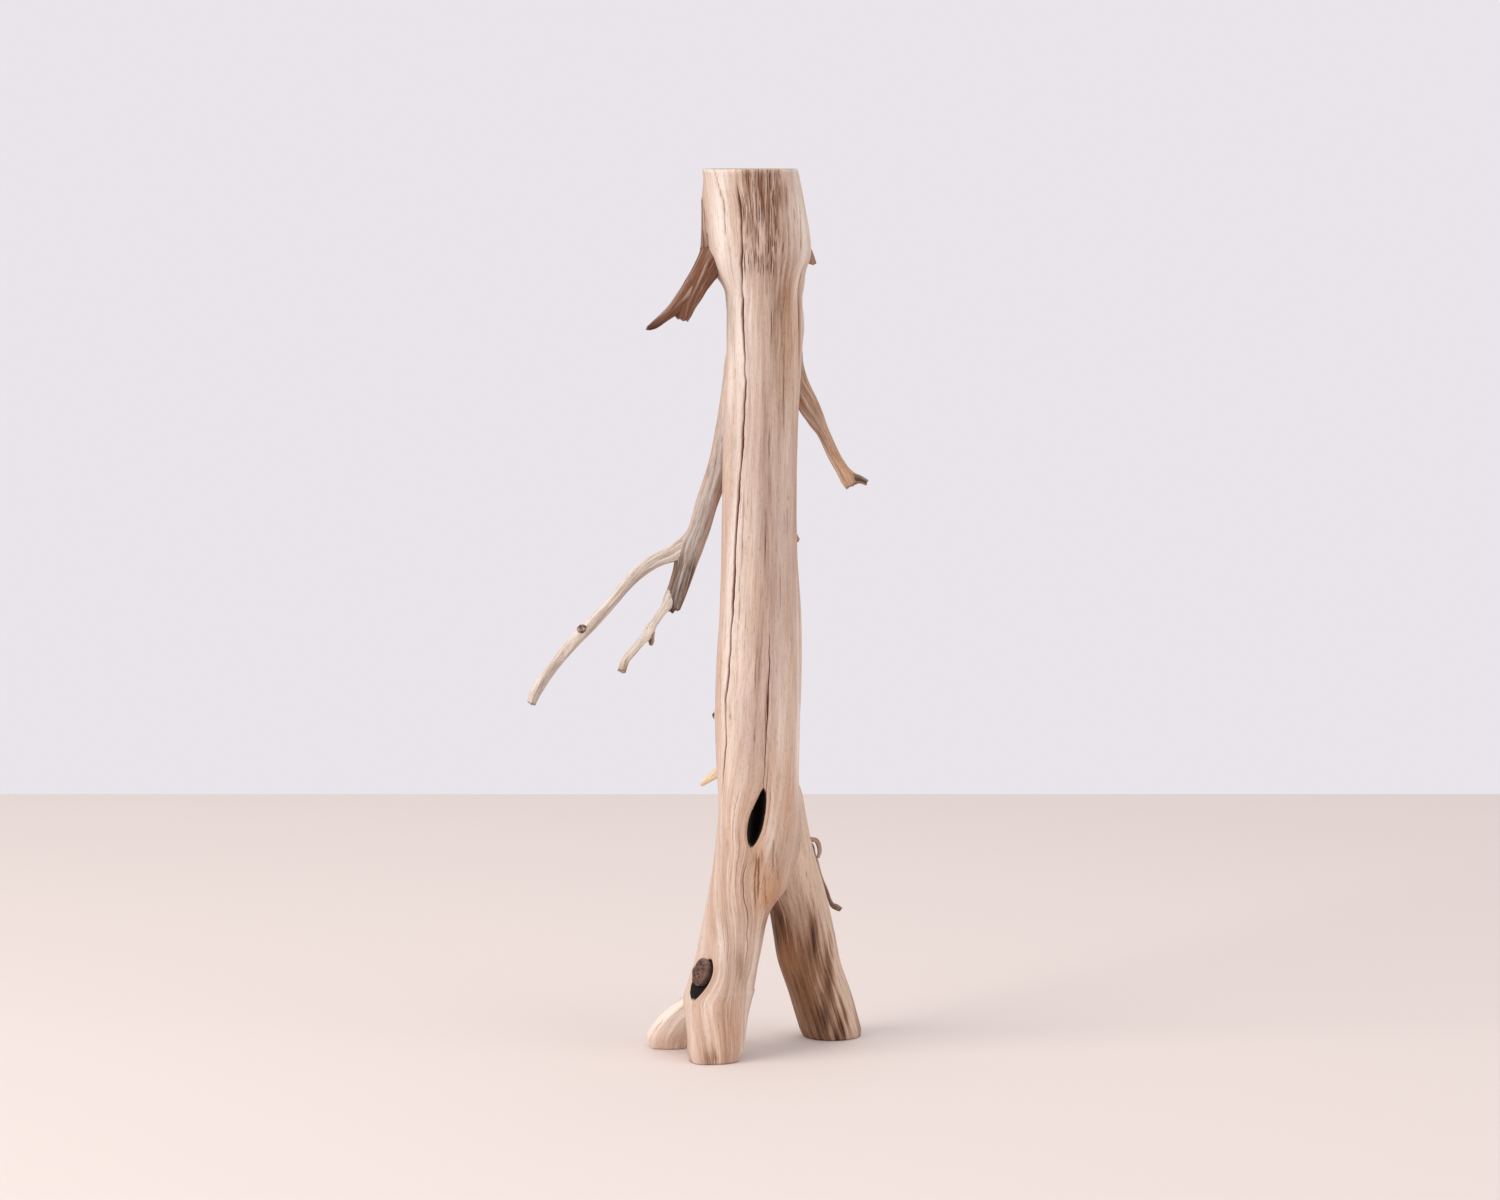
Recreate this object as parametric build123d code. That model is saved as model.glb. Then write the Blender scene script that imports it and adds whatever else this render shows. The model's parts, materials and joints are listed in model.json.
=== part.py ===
from build123d import *
import math
import os

# Driftwood standing figure, in millimetres. X runs to its right, Y to its back, Z up from the floor.
# A natural stem, sawn flat at the top, forks into a front leg with a side toe and a rear leg.
# Every limb is a growth of its own: its root is a tapered knot that sits in a socket of the wood
# that carries it, with the hairline gap that drying leaves round a dead knot.

# ---- overall ----
figure_height = 380.0
crotch_height = 66.0
knot_clearance = 0.12

# ---- stem: half widths across the front, from the sawn top down ----
top_half_width = 20.4
shoulder_half_width = 21.3
neck_half_width = 16.4
waist_half_width = 15.9
hip_half_width = 17.9
fork_half_width = 17.0
shin_half_width = 13.1
foot_half_width = 11.4
stem_depth_ratio = 0.94
stem_back_lean = 4.0
flute_depth = 0.35

foot_x = -18.7
foot_y = -25.0

# ---- toe, beside the front foot ----
toe_reach_x = -20.0
toe_reach_y = 30.0
toe_half_width = 9.6
toe_root_height = 34.0

# ---- rear leg ----
rear_foot_x = 33.2
rear_foot_y = 27.0
rear_leg_half_width = 13.2
rear_leg_root_height = 124.0
rear_tenon_radius = 6.0
rear_tenon_depth = 12.0
rear_tenon_height = 93.0

# ---- drying checks and hollows ----
main_check_width = 1.2
main_check_depth = 4.0
main_check_top_drop = 8.0
main_check_end_height = 136.0
second_check_width = 0.9
second_check_depth = 2.6
second_check_top_height = 182.0
second_check_end_height = 42.0
hollow_x = -0.2
hollow_height = 104.2
hollow_length = 24.4
hollow_half_width = 3.2
hollow_depth = 15.0
hollow_lean = 11.0
knot_hollow_height = 35.5
knot_hollow_bearing = 222.0
knot_hollow_length = 20.5
knot_hollow_half_width = 4.1
knot_hollow_depth = 8.0
knot_hollow_lean = 28.0
dead_knot_radius = 2.7
dead_knot_offset = 1.8
dead_knot_sink = 1.0
dead_knot_seat_depth = 3.0
ridge_bottom_height = 122.0
ridge_top_height = 214.0
ridge_bottom_bearing = 38.0
ridge_top_bearing = 24.0
ridge_radius = 4.0
ridge_rise = 1.6

# ---- where the limbs leave the wood: heights, or drops below the sawn top, and bearings ----
# A bearing is in degrees, from the figure's right towards its back.
shoulder_stub_drop = 38.0
shoulder_stub_bearing = 174.0
left_arm_drop = 84.0
left_arm_bearing = 137.0
right_arm_drop = 80.0
right_arm_bearing = 42.0
shoulder_spur_drop = 36.5
shoulder_spur_bearing = 24.0
side_spur_drop = 157.5
side_spur_bearing = 20.0
left_bud_height = 145.7
left_bud_bearing = 176.0
back_twig_height = 122.0
back_twig_bearing = 128.0
leg_twig_height = 87.0
leg_twig_bearing = 34.0
bark_curl_height = 89.5
bark_curl_bearing = 22.0

# ---- knots: radius at the mouth, depth in the wood, and inner end as a share of the mouth ----
arm_knot_radius = 3.0
arm_knot_depth = 10.0
stub_knot_radius = 3.6
twig_knot_radius = 1.5
twig_knot_depth = 5.0
bud_knot_radius = 0.7
bud_knot_depth = 3.0
knot_taper = 0.7

# ---- how closely the lofts follow the chosen sections, and the long flats round the wood ----
level_spacing = 13.0
limb_spacing = 6.5
stem_flats = 20
limb_flats = 8


# ---------------------------------------------------------------- helpers

def outline(plane, half_width, half_depth, flats, flute=0.0, turn=0.0):
    """Outline of the wood: long flats where it has split along the grain, with three soft flutes."""
    corners = []
    for i in range(flats):
        angle = 2 * math.pi * i / flats
        swell = flute * math.cos(3 * angle + turn) + 0.6 * flute * math.cos(2 * angle - turn)
        corner = Vector((half_width + swell) * math.cos(angle), (half_depth + swell) * math.sin(angle))
        corners.append(plane.from_local_coords(corner))
    return Wire.make_polygon(corners, close=True)


def smooth_between(stations, at):
    """Smooth curve through stations (position, values...), read at one position."""
    last = len(stations) - 1
    at = min(max(at, stations[0][0]), stations[last][0])
    i = max(k for k in range(last) if stations[k][0] <= at)
    here, beyond = stations[i], stations[i + 1]
    step = beyond[0] - here[0]
    share = (at - here[0]) / step

    def slope(k, value):
        before, after = stations[max(k - 1, 0)], stations[min(k + 1, last)]
        return (after[value] - before[value]) / (after[0] - before[0])

    values = []
    for value in range(1, len(here)):
        rise = beyond[value] - here[value]
        bend_in = slope(i, value) * step - rise
        bend_out = rise - slope(i + 1, value) * step
        curve = share * (1 - share) * ((1 - share) * bend_in + share * bend_out)
        values.append(here[value] + share * rise + curve)
    return values


def even_stations(stations, spacing):
    """The same smooth curve in even steps, so that a loft through them doesn't ripple."""
    first, last = stations[0][0], stations[-1][0]
    count = max(3, round((last - first) / spacing))
    positions = [first + (last - first) * i / count for i in range(count + 1)]
    return [smooth_between(stations, position) for position in positions], positions


def level_loft(sections, grow=0.0, flats=stem_flats):
    """Loft through level sections (height, x, y, half width, half depth), made fatter by grow."""
    wires = []
    values, heights = even_stations(sections, level_spacing)
    for (x, y, half_width, half_depth), z in zip(values, heights):
        turn = 2.4 * z / figure_height
        wires.append(outline(Plane((x, y, z)), half_width + grow, half_depth + grow,
                             flats, flute_depth, turn))
    return Solid.make_loft(wires)


def limb_loft(stations):
    """Loft of round sections square to the limb's path; stations are (x, y, z, radius)."""
    travelled = 0
    measured = []
    for i, station in enumerate(stations):
        if i:
            travelled += (Vector(*station[:3]) - Vector(*stations[i - 1][:3])).length
        measured.append((travelled,) + tuple(station))
    spacing = min(limb_spacing, travelled / 4)
    values, places = even_stations(measured, spacing)
    points = [Vector(x, y, z) for x, y, z, radius in values]
    across = Vector(0, 1, 0).cross(points[1] - points[0])
    wires = []
    for i, (x, y, z, radius) in enumerate(values):
        along = (points[min(i + 1, len(points) - 1)] - points[max(i - 1, 0)]).normalized()
        across = (across - along * across.dot(along)).normalized()
        wires.append(outline(Plane(points[i], x_dir=across, z_dir=along), radius, radius, limb_flats))
    return Solid.make_loft(wires, ruled=True)


def bearing_direction(bearing):
    angle = math.radians(bearing)
    return Vector(math.cos(angle), math.sin(angle), 0)


def outer_point(wood, start, direction):
    """Where a ray from inside the wood leaves it for good."""
    hits = [point for point, normal in wood.find_intersection_points(Axis(start, direction))]
    return max(hits, key=lambda point: (point - start).dot(direction))


def axis_point(sections, z):
    """Point on the middle line of level sections, at height z."""
    x, y, half_width, half_depth = smooth_between(sections, z)
    return Vector(x, y, z)


def seat_on(wood, sections, z, bearing):
    """Point on the wood's surface at a height and bearing round its middle line."""
    return outer_point(wood, axis_point(sections, z), bearing_direction(bearing))


def knot(seat, outward, radius, depth, stand_out, clearance=0.0):
    """Tapered knot from its inner end to beyond the wood's surface, where its radius is given."""
    spread = radius * (1 - knot_taper) / depth
    across = outward.cross(Vector(0, 0, 1))
    inner_plane = Plane(seat - outward * (depth + clearance), x_dir=across, z_dir=outward)
    outer_plane = Plane(seat + outward * stand_out, x_dir=across, z_dir=outward)
    inner_radius = radius * knot_taper + clearance
    outer_radius = radius + spread * stand_out + clearance
    return Solid.make_loft([outline(inner_plane, inner_radius, inner_radius, limb_flats),
                            outline(outer_plane, outer_radius, outer_radius, limb_flats)], ruled=True)


def from_seat(seat, offsets):
    """Stations of a limb, given from its seat."""
    return [(seat.X + x, seat.Y + y, seat.Z + z, radius) for x, y, z, radius in offsets]


def fit_limb(clear_wood, seat, outward, body, radius, depth, stand_out):
    """A limb trimmed to the wood that carries it, with its knot, and the socket for that knot."""
    trimmed = body - clear_wood
    trimmed = max(trimmed.solids(), key=lambda solid: solid.volume)
    limb = trimmed + knot(seat, outward, radius, depth, stand_out)
    socket = knot(seat, outward, radius, depth, stand_out + 2 * radius, knot_clearance)
    return limb, socket


def check_cut(points, inward, width, depth):
    """Wedge-shaped drying check along surface points, fading out at both ends."""
    lip_height = 1.5
    wires = []
    for i, point in enumerate(points):
        opening = 0.15 + 0.85 * math.sin(math.pi * i / (len(points) - 1)) ** 0.5
        half_mouth = width * opening / 2 * (lip_height + depth) / depth
        side = Vector(half_mouth, 0, 0)
        lip = point - inward * lip_height
        root = point + inward * depth * opening
        wires.append(Wire.make_polygon([lip - side, lip + side, root], close=True))
    return Solid.make_loft(wires)


def almond(length, half_width):
    """Pointed upright outline, its left side bowed and its right side nearly straight."""
    top = (0, length / 2)
    bottom = (0, -length / 2)
    left = ThreePointArc(bottom, (-1.35 * half_width, -0.06 * length), top)
    right = ThreePointArc(top, (0.65 * half_width, 0.06 * length), bottom)
    return make_face([left, right])


def hollow_cut(mouth, inward, lean, length, half_width, depth):
    """Almond-shaped hollow sunk into the wood, narrowing with depth."""
    stand_off = 4.0
    plane = Plane(mouth - inward * stand_off, x_dir=inward.cross(Vector(0, 0, 1)), z_dir=-inward)
    face = plane * (Rot(0, 0, -lean) * almond(length, half_width))
    return extrude(face, amount=depth + stand_off, dir=inward, taper=3)


# ---------------------------------------------------------------- stem, toe and rear leg

def up_stem(share):
    """Height at a share of the way from the crotch to the sawn top."""
    return crotch_height + share * (figure_height - crotch_height)


def stem_section(share, x, y, half_width):
    """Level section of the stem above the crotch; it leans back towards the top."""
    lean = stem_back_lean * share ** 2
    return (up_stem(share), x, y + lean, half_width, half_width * stem_depth_ratio)


ankle_half_width = 0.5 * (foot_half_width + shin_half_width)
thigh_half_width = shin_half_width + 0.5
front_leg_sections = [
    (0.0, foot_x, foot_y, foot_half_width, foot_half_width),
    (0.38 * crotch_height, foot_x + 3.1, foot_y + 5.0, ankle_half_width, ankle_half_width),
    (0.70 * crotch_height, foot_x + 6.5, foot_y + 10.2, shin_half_width, shin_half_width),
    (0.94 * crotch_height, foot_x + 9.9, foot_y + 15.0, thigh_half_width, thigh_half_width),
]
stem_sections = front_leg_sections + [
    stem_section(0.016, -5.0, -8.0, 0.93 * fork_half_width),
    stem_section(0.045, -2.5, -6.8, 0.99 * fork_half_width),
    stem_section(0.083, -0.4, -5.0, 1.02 * fork_half_width),
    stem_section(0.127, 0.4, -3.2, fork_half_width),
    stem_section(0.188, 0.0, -1.4, 0.98 * hip_half_width),
    stem_section(0.280, 0.0, 0.0, hip_half_width),
    stem_section(0.395, 0.7, 0.0, 0.5 * (hip_half_width + waist_half_width)),
    stem_section(0.506, 0.8, 0.0, waist_half_width),
    stem_section(0.634, 1.5, 0.0, waist_half_width),
    stem_section(0.745, 3.2, 0.0, waist_half_width),
    stem_section(0.831, 3.0, 0.0, neck_half_width),
    stem_section(0.857, 2.3, 0.0, 0.6 * neck_half_width + 0.4 * shoulder_half_width),
    stem_section(0.882, 2.6, 0.0, 0.97 * shoulder_half_width),
    stem_section(0.911, 1.7, 0.0, shoulder_half_width),
    stem_section(0.955, -0.3, 0.0, 0.5 * (shoulder_half_width + top_half_width)),
    stem_section(1.000, -2.8, 0.0, top_half_width),
    stem_section(1.050, -4.0, 0.0, top_half_width - 0.6),
]

toe_x = foot_x + toe_reach_x
toe_y = foot_y + toe_reach_y
toe_sections = [
    (0.0, toe_x, toe_y, toe_half_width - 0.6, toe_half_width - 0.6),
    (0.18 * toe_root_height, toe_x + 0.9, toe_y - 0.7, toe_half_width, toe_half_width),
    (0.38 * toe_root_height, toe_x + 3.6, toe_y - 3.4, toe_half_width, toe_half_width),
    (0.65 * toe_root_height, toe_x + 9.7, toe_y - 8.5, toe_half_width - 0.4, toe_half_width - 0.4),
    (toe_root_height, toe_x + 20.0, toe_y - 18.0, toe_half_width - 3.1, toe_half_width - 3.1),
]

# Each step up the rear leg: share of its root height, and how far it leans in from the foot.
rear_leg_path = [(0.00, 0.0, 0.0), (0.08, -2.8, -2.6), (0.17, -6.0, -5.0), (0.28, -10.4, -9.0),
                 (0.38, -12.7, -12.0), (0.53, -16.0, -16.5), (0.68, -20.6, -19.0),
                 (0.84, -25.2, -21.0), (1.00, -29.0, -22.5)]
rear_leg_sections = [
    (share * rear_leg_root_height, rear_foot_x + x, rear_foot_y + y,
     rear_leg_half_width - 2 * max(0, share - 0.84) / 0.16,
     rear_leg_half_width - 2 * max(0, share - 0.84) / 0.16)
    for share, x, y in rear_leg_path
]


def front_point(wood, x, z):
    """Point on the stem's front face."""
    return outer_point(wood, Vector(x, axis_point(stem_sections, z).Y, z), Vector(0, -1, 0))


def make_stem(grow=0.0):
    """Stem sawn off at the top, front leg and toe before any cut, made fatter by grow."""
    sawn = level_loft(stem_sections, grow).split(Plane((0, 0, figure_height)), keep=Keep.BOTTOM)
    return sawn + level_loft(toe_sections, grow)


def make_ridge(wood):
    """Raised strand of grain down the stem's back right."""
    sections = []
    steps = 6
    for i in range(steps + 1):
        z = ridge_bottom_height + (ridge_top_height - ridge_bottom_height) * i / steps
        bearing = ridge_bottom_bearing + (ridge_top_bearing - ridge_bottom_bearing) * i / steps
        rise = ridge_rise * math.sin(math.pi * i / steps)
        centre = seat_on(wood, stem_sections, z, bearing)
        centre = centre + bearing_direction(bearing) * (rise - ridge_radius - 0.1)
        sections.append((z, centre.X, centre.Y, ridge_radius, ridge_radius))
    return level_loft(sections, flats=limb_flats)


def spaced(top, bottom, wander):
    """Evenly spaced heights from top to bottom, each with its own sideways place."""
    last = len(wander) - 1
    return [(x, top + (bottom - top) * i / last) for i, x in enumerate(wander)]


def make_checks(wood):
    """The long drying check down the front and the shorter one that ends in the hollow."""
    main = spaced(figure_height - main_check_top_drop, main_check_end_height,
                  [-8.4, -6.5, -6.8, -5.6, -5.4, -5.3, -7.3, -9.2, -10.4, -11.8, -13.0])
    second = spaced(second_check_top_height, hollow_height + 0.45 * hollow_length,
                    [5.5, 5.1, 4.7, 3.8, 2.4])
    lower = spaced(hollow_height - 0.45 * hollow_length, second_check_end_height,
                   [-3.0, -5.2, -4.4, -4.4, -5.0])
    back = Vector(0, 1, 0)
    cuts = []
    for path, width, depth in ((main, main_check_width, main_check_depth),
                               (second, second_check_width, second_check_depth),
                               (lower, second_check_width, second_check_depth)):
        cuts.append(check_cut([front_point(wood, x, z) for x, z in path], back, width, depth))
    return cuts


# ---------------------------------------------------------------- the model

stem_blank = make_stem()
stem_clear = make_stem(knot_clearance)
sockets = []
parts = {}

# Rear leg, scribed to the stem and held by its own core of wood.
leg_outward = Vector(0.50, 0.42, -0.75).normalized()
leg_seat = outer_point(stem_blank, axis_point(stem_sections, rear_tenon_height), leg_outward)
leg_body = level_loft(rear_leg_sections)
parts["rear_leg"], leg_socket = fit_limb(stem_clear, leg_seat, leg_outward, leg_body,
                                         rear_tenon_radius, rear_tenon_depth, rear_tenon_depth)
sockets.append(leg_socket)


def grow_limb(name, clear_wood, seat, outward, offsets, radius, depth):
    """Make one limb on the wood that carries it and return its socket."""
    stand_out = 0.8 * radius
    body = limb_loft(from_seat(seat, offsets))
    parts[name], limb_socket = fit_limb(clear_wood, seat, outward, body, radius, depth, stand_out)
    return limb_socket


def on_stem(name, z, bearing, knot_rise, offsets, radius, depth):
    """Make one limb on the stem, its knot climbing inwards by knot_rise per unit; return its seat."""
    seat = seat_on(stem_blank, stem_sections, z, bearing)
    outward = (bearing_direction(bearing) - Vector(0, 0, knot_rise)).normalized()
    sockets.append(grow_limb(name, stem_clear, seat, outward, offsets, radius, depth))
    return seat


left_arm_seat = on_stem(
    "left_arm", figure_height - left_arm_drop, left_arm_bearing, 0.5,
    [(2.5, -3.0, 6.0, 4.2), (-0.5, 0.8, 1.5, 4.6), (-2.3, 3.8, -6.5, 4.4),
     (-4.0, 5.2, -15.3, 4.2), (-7.9, 2.0, -39.3, 4.1), (-14.3, -4.6, -59.6, 4.0),
     (-17.3, -8.6, -70.4, 4.2), (-20.2, -11.6, -77.9, 4.4), (-22.4, -12.6, -85.4, 3.9),
     (-26.3, -12.6, -96.8, 3.5), (-27.6, -12.2, -102.5, 2.8), (-28.2, -11.6, -107.0, 1.9)],
    arm_knot_radius, arm_knot_depth)
right_arm_seat = on_stem(
    "right_arm", figure_height - right_arm_drop, right_arm_bearing, 0.5,
    [(-2.5, -3.0, 5.0, 3.6), (0.0, 0.6, 0.5, 4.0), (1.0, 2.6, -4.0, 3.8),
     (3.9, 3.7, -12.4, 3.6), (8.9, 0.2, -22.5, 3.4), (13.3, -4.2, -32.5, 3.0),
     (18.2, -8.2, -42.6, 2.3), (21.2, -10.2, -47.6, 2.4), (24.0, -11.2, -52.2, 2.5),
     (25.7, -12.2, -55.5, 1.8)],
    0.8 * arm_knot_radius, arm_knot_depth)
stub_seat = on_stem(
    "shoulder_stub", figure_height - shoulder_stub_drop, shoulder_stub_bearing, 0.3,
    [(3.5, 1.0, 20.0, 3.2), (2.9, 0.8, 10.0, 5.2), (0.4, -0.3, 2.0, 5.9),
     (-4.3, -4.6, -4.1, 5.1), (-6.8, -8.6, -9.0, 4.7), (-9.3, -11.6, -14.0, 4.3),
     (-11.9, -13.6, -19.0, 3.5), (-14.0, -15.6, -25.7, 2.3)],
    stub_knot_radius, arm_knot_depth)
# The stub is split at its end: a second prong runs on beyond the first.
parts["shoulder_stub"] += limb_loft(from_seat(
    stub_seat, [(-8.8, -10.6, -10.3, 2.6), (-12.4, -13.6, -15.0, 2.7), (-16.6, -15.6, -19.6, 2.5),
                (-21.6, -17.6, -24.4, 2.2), (-25.6, -19.0, -27.5, 1.7), (-28.7, -19.6, -29.3, 0.9)]))
on_stem("right_shoulder_spur", figure_height - shoulder_spur_drop, shoulder_spur_bearing, 0.3,
        [(-1.2, -0.8, 1.2, 2.2), (0.4, 0.3, -0.4, 2.0), (2.2, 1.7, -1.9, 1.4), (3.9, 3.0, -3.5, 0.7)],
        twig_knot_radius, twig_knot_depth)
on_stem("right_side_spur", figure_height - side_spur_drop, side_spur_bearing, 0.3,
        [(-1.0, -0.5, 0.8, 1.8), (0.5, 0.3, -0.4, 1.6), (2.4, 1.0, -1.9, 0.9)],
        0.8 * twig_knot_radius, twig_knot_depth)
on_stem("left_side_bud", left_bud_height, left_bud_bearing, 0.2,
        [(0.8, 0.0, 0.3, 1.2), (-0.3, 0.0, -0.1, 1.1), (-1.3, 0.0, -0.5, 0.6)],
        bud_knot_radius, bud_knot_depth)
on_stem("back_twig", back_twig_height, back_twig_bearing, 0.1,
        [(1.2, -2.0, 0.8, 2.4), (-0.5, 1.0, 0.0, 2.4), (-4.4, 10.4, -2.4, 2.1),
         (-8.0, 18.4, -6.3, 1.9), (-11.6, 26.4, -10.1, 1.5), (-14.3, 32.4, -13.3, 0.6)],
        twig_knot_radius, twig_knot_depth)


clear_leg = level_loft(rear_leg_sections, knot_clearance)


def on_leg(name, z, bearing, offsets, radius, depth):
    """Make one twig on the rear leg."""
    seat = seat_on(leg_body, rear_leg_sections, z, bearing)
    outward = (bearing_direction(bearing) - Vector(0, 0, 0.3)).normalized()
    limb_socket = grow_limb(name, clear_leg, seat, outward, offsets, radius, depth)
    parts["rear_leg"] = parts["rear_leg"] - limb_socket


on_leg("rear_leg_twig", leg_twig_height, leg_twig_bearing,
       [(-1.0, -0.8, 1.0, 1.8), (0.6, 0.4, -0.6, 1.8), (1.6, 2.0, -4.0, 1.5),
        (3.1, 3.9, -7.5, 1.1), (5.2, 4.4, -14.6, 0.85), (8.1, 3.9, -22.1, 0.9),
        (10.6, 2.9, -26.8, 1.5), (13.9, 1.9, -29.2, 1.0)],
       0.7 * twig_knot_radius, twig_knot_depth)
on_leg("bark_curl", bark_curl_height, bark_curl_bearing,
       [(-0.8, -0.3, 0.5, 0.9), (0.7, 0.3, 0.0, 1.0), (2.0, 0.8, -0.4, 1.0),
        (3.1, 1.0, -2.4, 1.0), (3.6, 0.8, -5.6, 0.9), (2.9, 0.4, -8.2, 0.6)],
       bud_knot_radius, bud_knot_depth)


def on_limb(name, parent, axis_at, direction, offsets, radius, depth):
    """Make one side growth on another limb and return its seat."""
    wood = parts[parent]
    outward = Vector(*direction).normalized()
    seat = outer_point(wood, axis_at, outward)
    limb_socket = grow_limb(name, wood, seat, outward, offsets, radius, depth)
    parts[parent] = wood - limb_socket
    return seat


long_twig_seat = on_limb(
    "left_arm_long_twig", "left_arm", left_arm_seat + Vector(-20.2, -11.6, -77.9), (-1.0, -0.2, 0.05),
    [(2.2, 0.5, 0.2, 3.2), (-0.8, -0.2, -0.3, 3.4), (-5.1, -2.2, -2.9, 3.2),
     (-12.8, -4.2, -6.6, 3.0), (-20.0, -6.2, -11.6, 2.8), (-28.5, -9.2, -21.1, 2.5),
     (-38.3, -12.2, -31.1, 2.5), (-48.0, -15.2, -41.0, 2.4), (-55.7, -17.2, -51.1, 2.3),
     (-61.6, -19.2, -60.3, 2.2), (-64.1, -20.2, -65.3, 1.8)],
    1.2 * twig_knot_radius, 0.8 * twig_knot_depth)
short_twig_seat = on_limb(
    "left_arm_short_twig", "left_arm", left_arm_seat + Vector(-26.3, -12.6, -96.8), (-1.0, -0.3, -0.6),
    [(1.6, 0.5, 1.0, 2.2), (-0.3, -0.1, -0.3, 2.2), (-2.2, -1.1, -4.0, 1.9),
     (-7.3, -3.1, -11.5, 1.7), (-11.1, -5.1, -16.9, 1.9), (-14.9, -7.1, -21.4, 1.8),
     (-19.2, -9.1, -26.3, 1.8), (-21.3, -11.1, -31.7, 1.6)],
    0.8 * twig_knot_radius, 0.6 * twig_knot_depth)
on_limb("right_arm_hook", "right_arm", right_arm_seat + Vector(24.0, -11.2, -52.2), (1.0, 0.1, 0.1),
        [(-1.0, 0.0, 0.0, 1.7), (0.4, 0.0, 0.0, 1.8), (2.7, 0.8, -0.3, 1.6), (7.0, 1.8, -2.1, 1.1)],
        0.7 * twig_knot_radius, 0.6 * twig_knot_depth)
on_limb("long_twig_knob", "left_arm_long_twig", long_twig_seat + Vector(-41.6, -13.2, -34.5), (0.2, -1.0, 0.4),
        [(-0.2, 0.8, -0.3, 0.9), (0.0, -0.2, 0.1, 1.2), (0.1, -1.0, 0.3, 1.5),
         (0.2, -1.9, 0.5, 1.3), (0.3, -2.5, 0.7, 0.7)],
        bud_knot_radius, 0.5 * bud_knot_depth)
on_limb("short_twig_spur", "left_arm_short_twig", short_twig_seat + Vector(-9.2, -4.1, -14.2), (0.1, 0.0, -1.0),
        [(0.0, 0.0, 0.8, 1.1), (-0.1, 0.1, -0.5, 1.1), (-0.6, 0.5, -2.9, 1.0), (-1.2, 1.0, -5.4, 0.7)],
        0.8 * bud_knot_radius, 0.4 * bud_knot_depth)

# The hollow in the stem, and the knot hollow low on the front leg with the loose knot left in it.
hollow_mouth = front_point(stem_blank, hollow_x, hollow_height)
stem_hollow = hollow_cut(hollow_mouth, Vector(0, 1, 0), hollow_lean, hollow_length,
                         hollow_half_width, hollow_depth)
knot_inward = -bearing_direction(knot_hollow_bearing)
knot_mouth = seat_on(stem_blank, stem_sections, knot_hollow_height, knot_hollow_bearing)
knot_hollow = hollow_cut(knot_mouth, knot_inward, knot_hollow_lean, knot_hollow_length,
                         knot_hollow_half_width, knot_hollow_depth)
dead_knot_place = Plane(knot_mouth, x_dir=knot_inward.cross(Vector(0, 0, 1)), z_dir=-knot_inward)
dead_knot_shift = Vector(-0.35 * knot_hollow_half_width, dead_knot_offset, 0)
dead_knot_mouth = dead_knot_place.from_local_coords(dead_knot_shift.rotate(Axis.Z, -knot_hollow_lean))
dead_knot_floor = dead_knot_mouth + knot_inward * knot_hollow_depth
dead_knot = knot(dead_knot_floor, -knot_inward, dead_knot_radius, dead_knot_seat_depth,
                 knot_hollow_depth - dead_knot_sink)
worn_face = dead_knot.faces().sort_by_distance(dead_knot_mouth)[0]
parts["dead_knot"] = chamfer(worn_face.edges(), 0.25 * dead_knot_radius)
sockets.append(knot(dead_knot_floor, -knot_inward, dead_knot_radius, dead_knot_seat_depth,
                    knot_hollow_depth - dead_knot_sink, knot_clearance))

trunk = stem_blank + make_ridge(stem_blank)
for cut in make_checks(stem_blank) + [stem_hollow, knot_hollow] + sockets:
    trunk = trunk - cut

parts["trunk"] = trunk

# The frame's origin is the middle of the whole figure's box, on the floor.
boxes = [part.bounding_box() for part in parts.values()]
middle_x = (min(box.min.X for box in boxes) + max(box.max.X for box in boxes)) / 2
middle_y = (min(box.min.Y for box in boxes) + max(box.max.Y for box in boxes)) / 2
os.makedirs("parts", exist_ok=True)
for name, part in parts.items():
    placed = Pos(-middle_x, -middle_y, 0) * part
    placed.label = name
    export_step(placed, "parts/" + name + ".step")
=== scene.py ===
import math
import json
from collections import namedtuple
import bpy
import numpy as np
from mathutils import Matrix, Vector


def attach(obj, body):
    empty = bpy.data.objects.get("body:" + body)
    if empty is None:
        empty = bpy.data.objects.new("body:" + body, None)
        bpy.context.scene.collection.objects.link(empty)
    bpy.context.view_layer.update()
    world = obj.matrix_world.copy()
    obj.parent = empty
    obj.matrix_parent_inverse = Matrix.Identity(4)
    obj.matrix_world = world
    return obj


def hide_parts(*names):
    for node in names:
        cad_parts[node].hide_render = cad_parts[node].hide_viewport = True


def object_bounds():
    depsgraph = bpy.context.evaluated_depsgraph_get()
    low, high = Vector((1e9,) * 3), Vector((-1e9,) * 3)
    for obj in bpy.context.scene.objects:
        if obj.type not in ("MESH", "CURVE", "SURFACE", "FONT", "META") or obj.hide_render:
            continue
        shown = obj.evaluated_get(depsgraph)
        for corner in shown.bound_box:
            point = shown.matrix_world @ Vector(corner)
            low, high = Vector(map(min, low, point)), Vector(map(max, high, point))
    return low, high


# Weathered driftwood figure: a sawn, forked stem on three feet, with its side limbs.
# Each growth is a fine grid whose rows run across the grain and whose columns follow it, so that
# cracks, fibres and stains all run the way the wood grew. The wood's lengths are in millimetres and
# its angles in degrees; its places count from a point on the ground under the stem.

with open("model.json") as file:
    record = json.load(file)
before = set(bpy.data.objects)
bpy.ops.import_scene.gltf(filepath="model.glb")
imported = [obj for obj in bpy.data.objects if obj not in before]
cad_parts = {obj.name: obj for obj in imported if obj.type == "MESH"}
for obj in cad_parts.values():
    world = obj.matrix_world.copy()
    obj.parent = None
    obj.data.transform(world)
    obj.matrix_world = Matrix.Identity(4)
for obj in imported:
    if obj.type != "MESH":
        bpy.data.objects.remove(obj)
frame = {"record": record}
cad_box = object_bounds()

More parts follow.
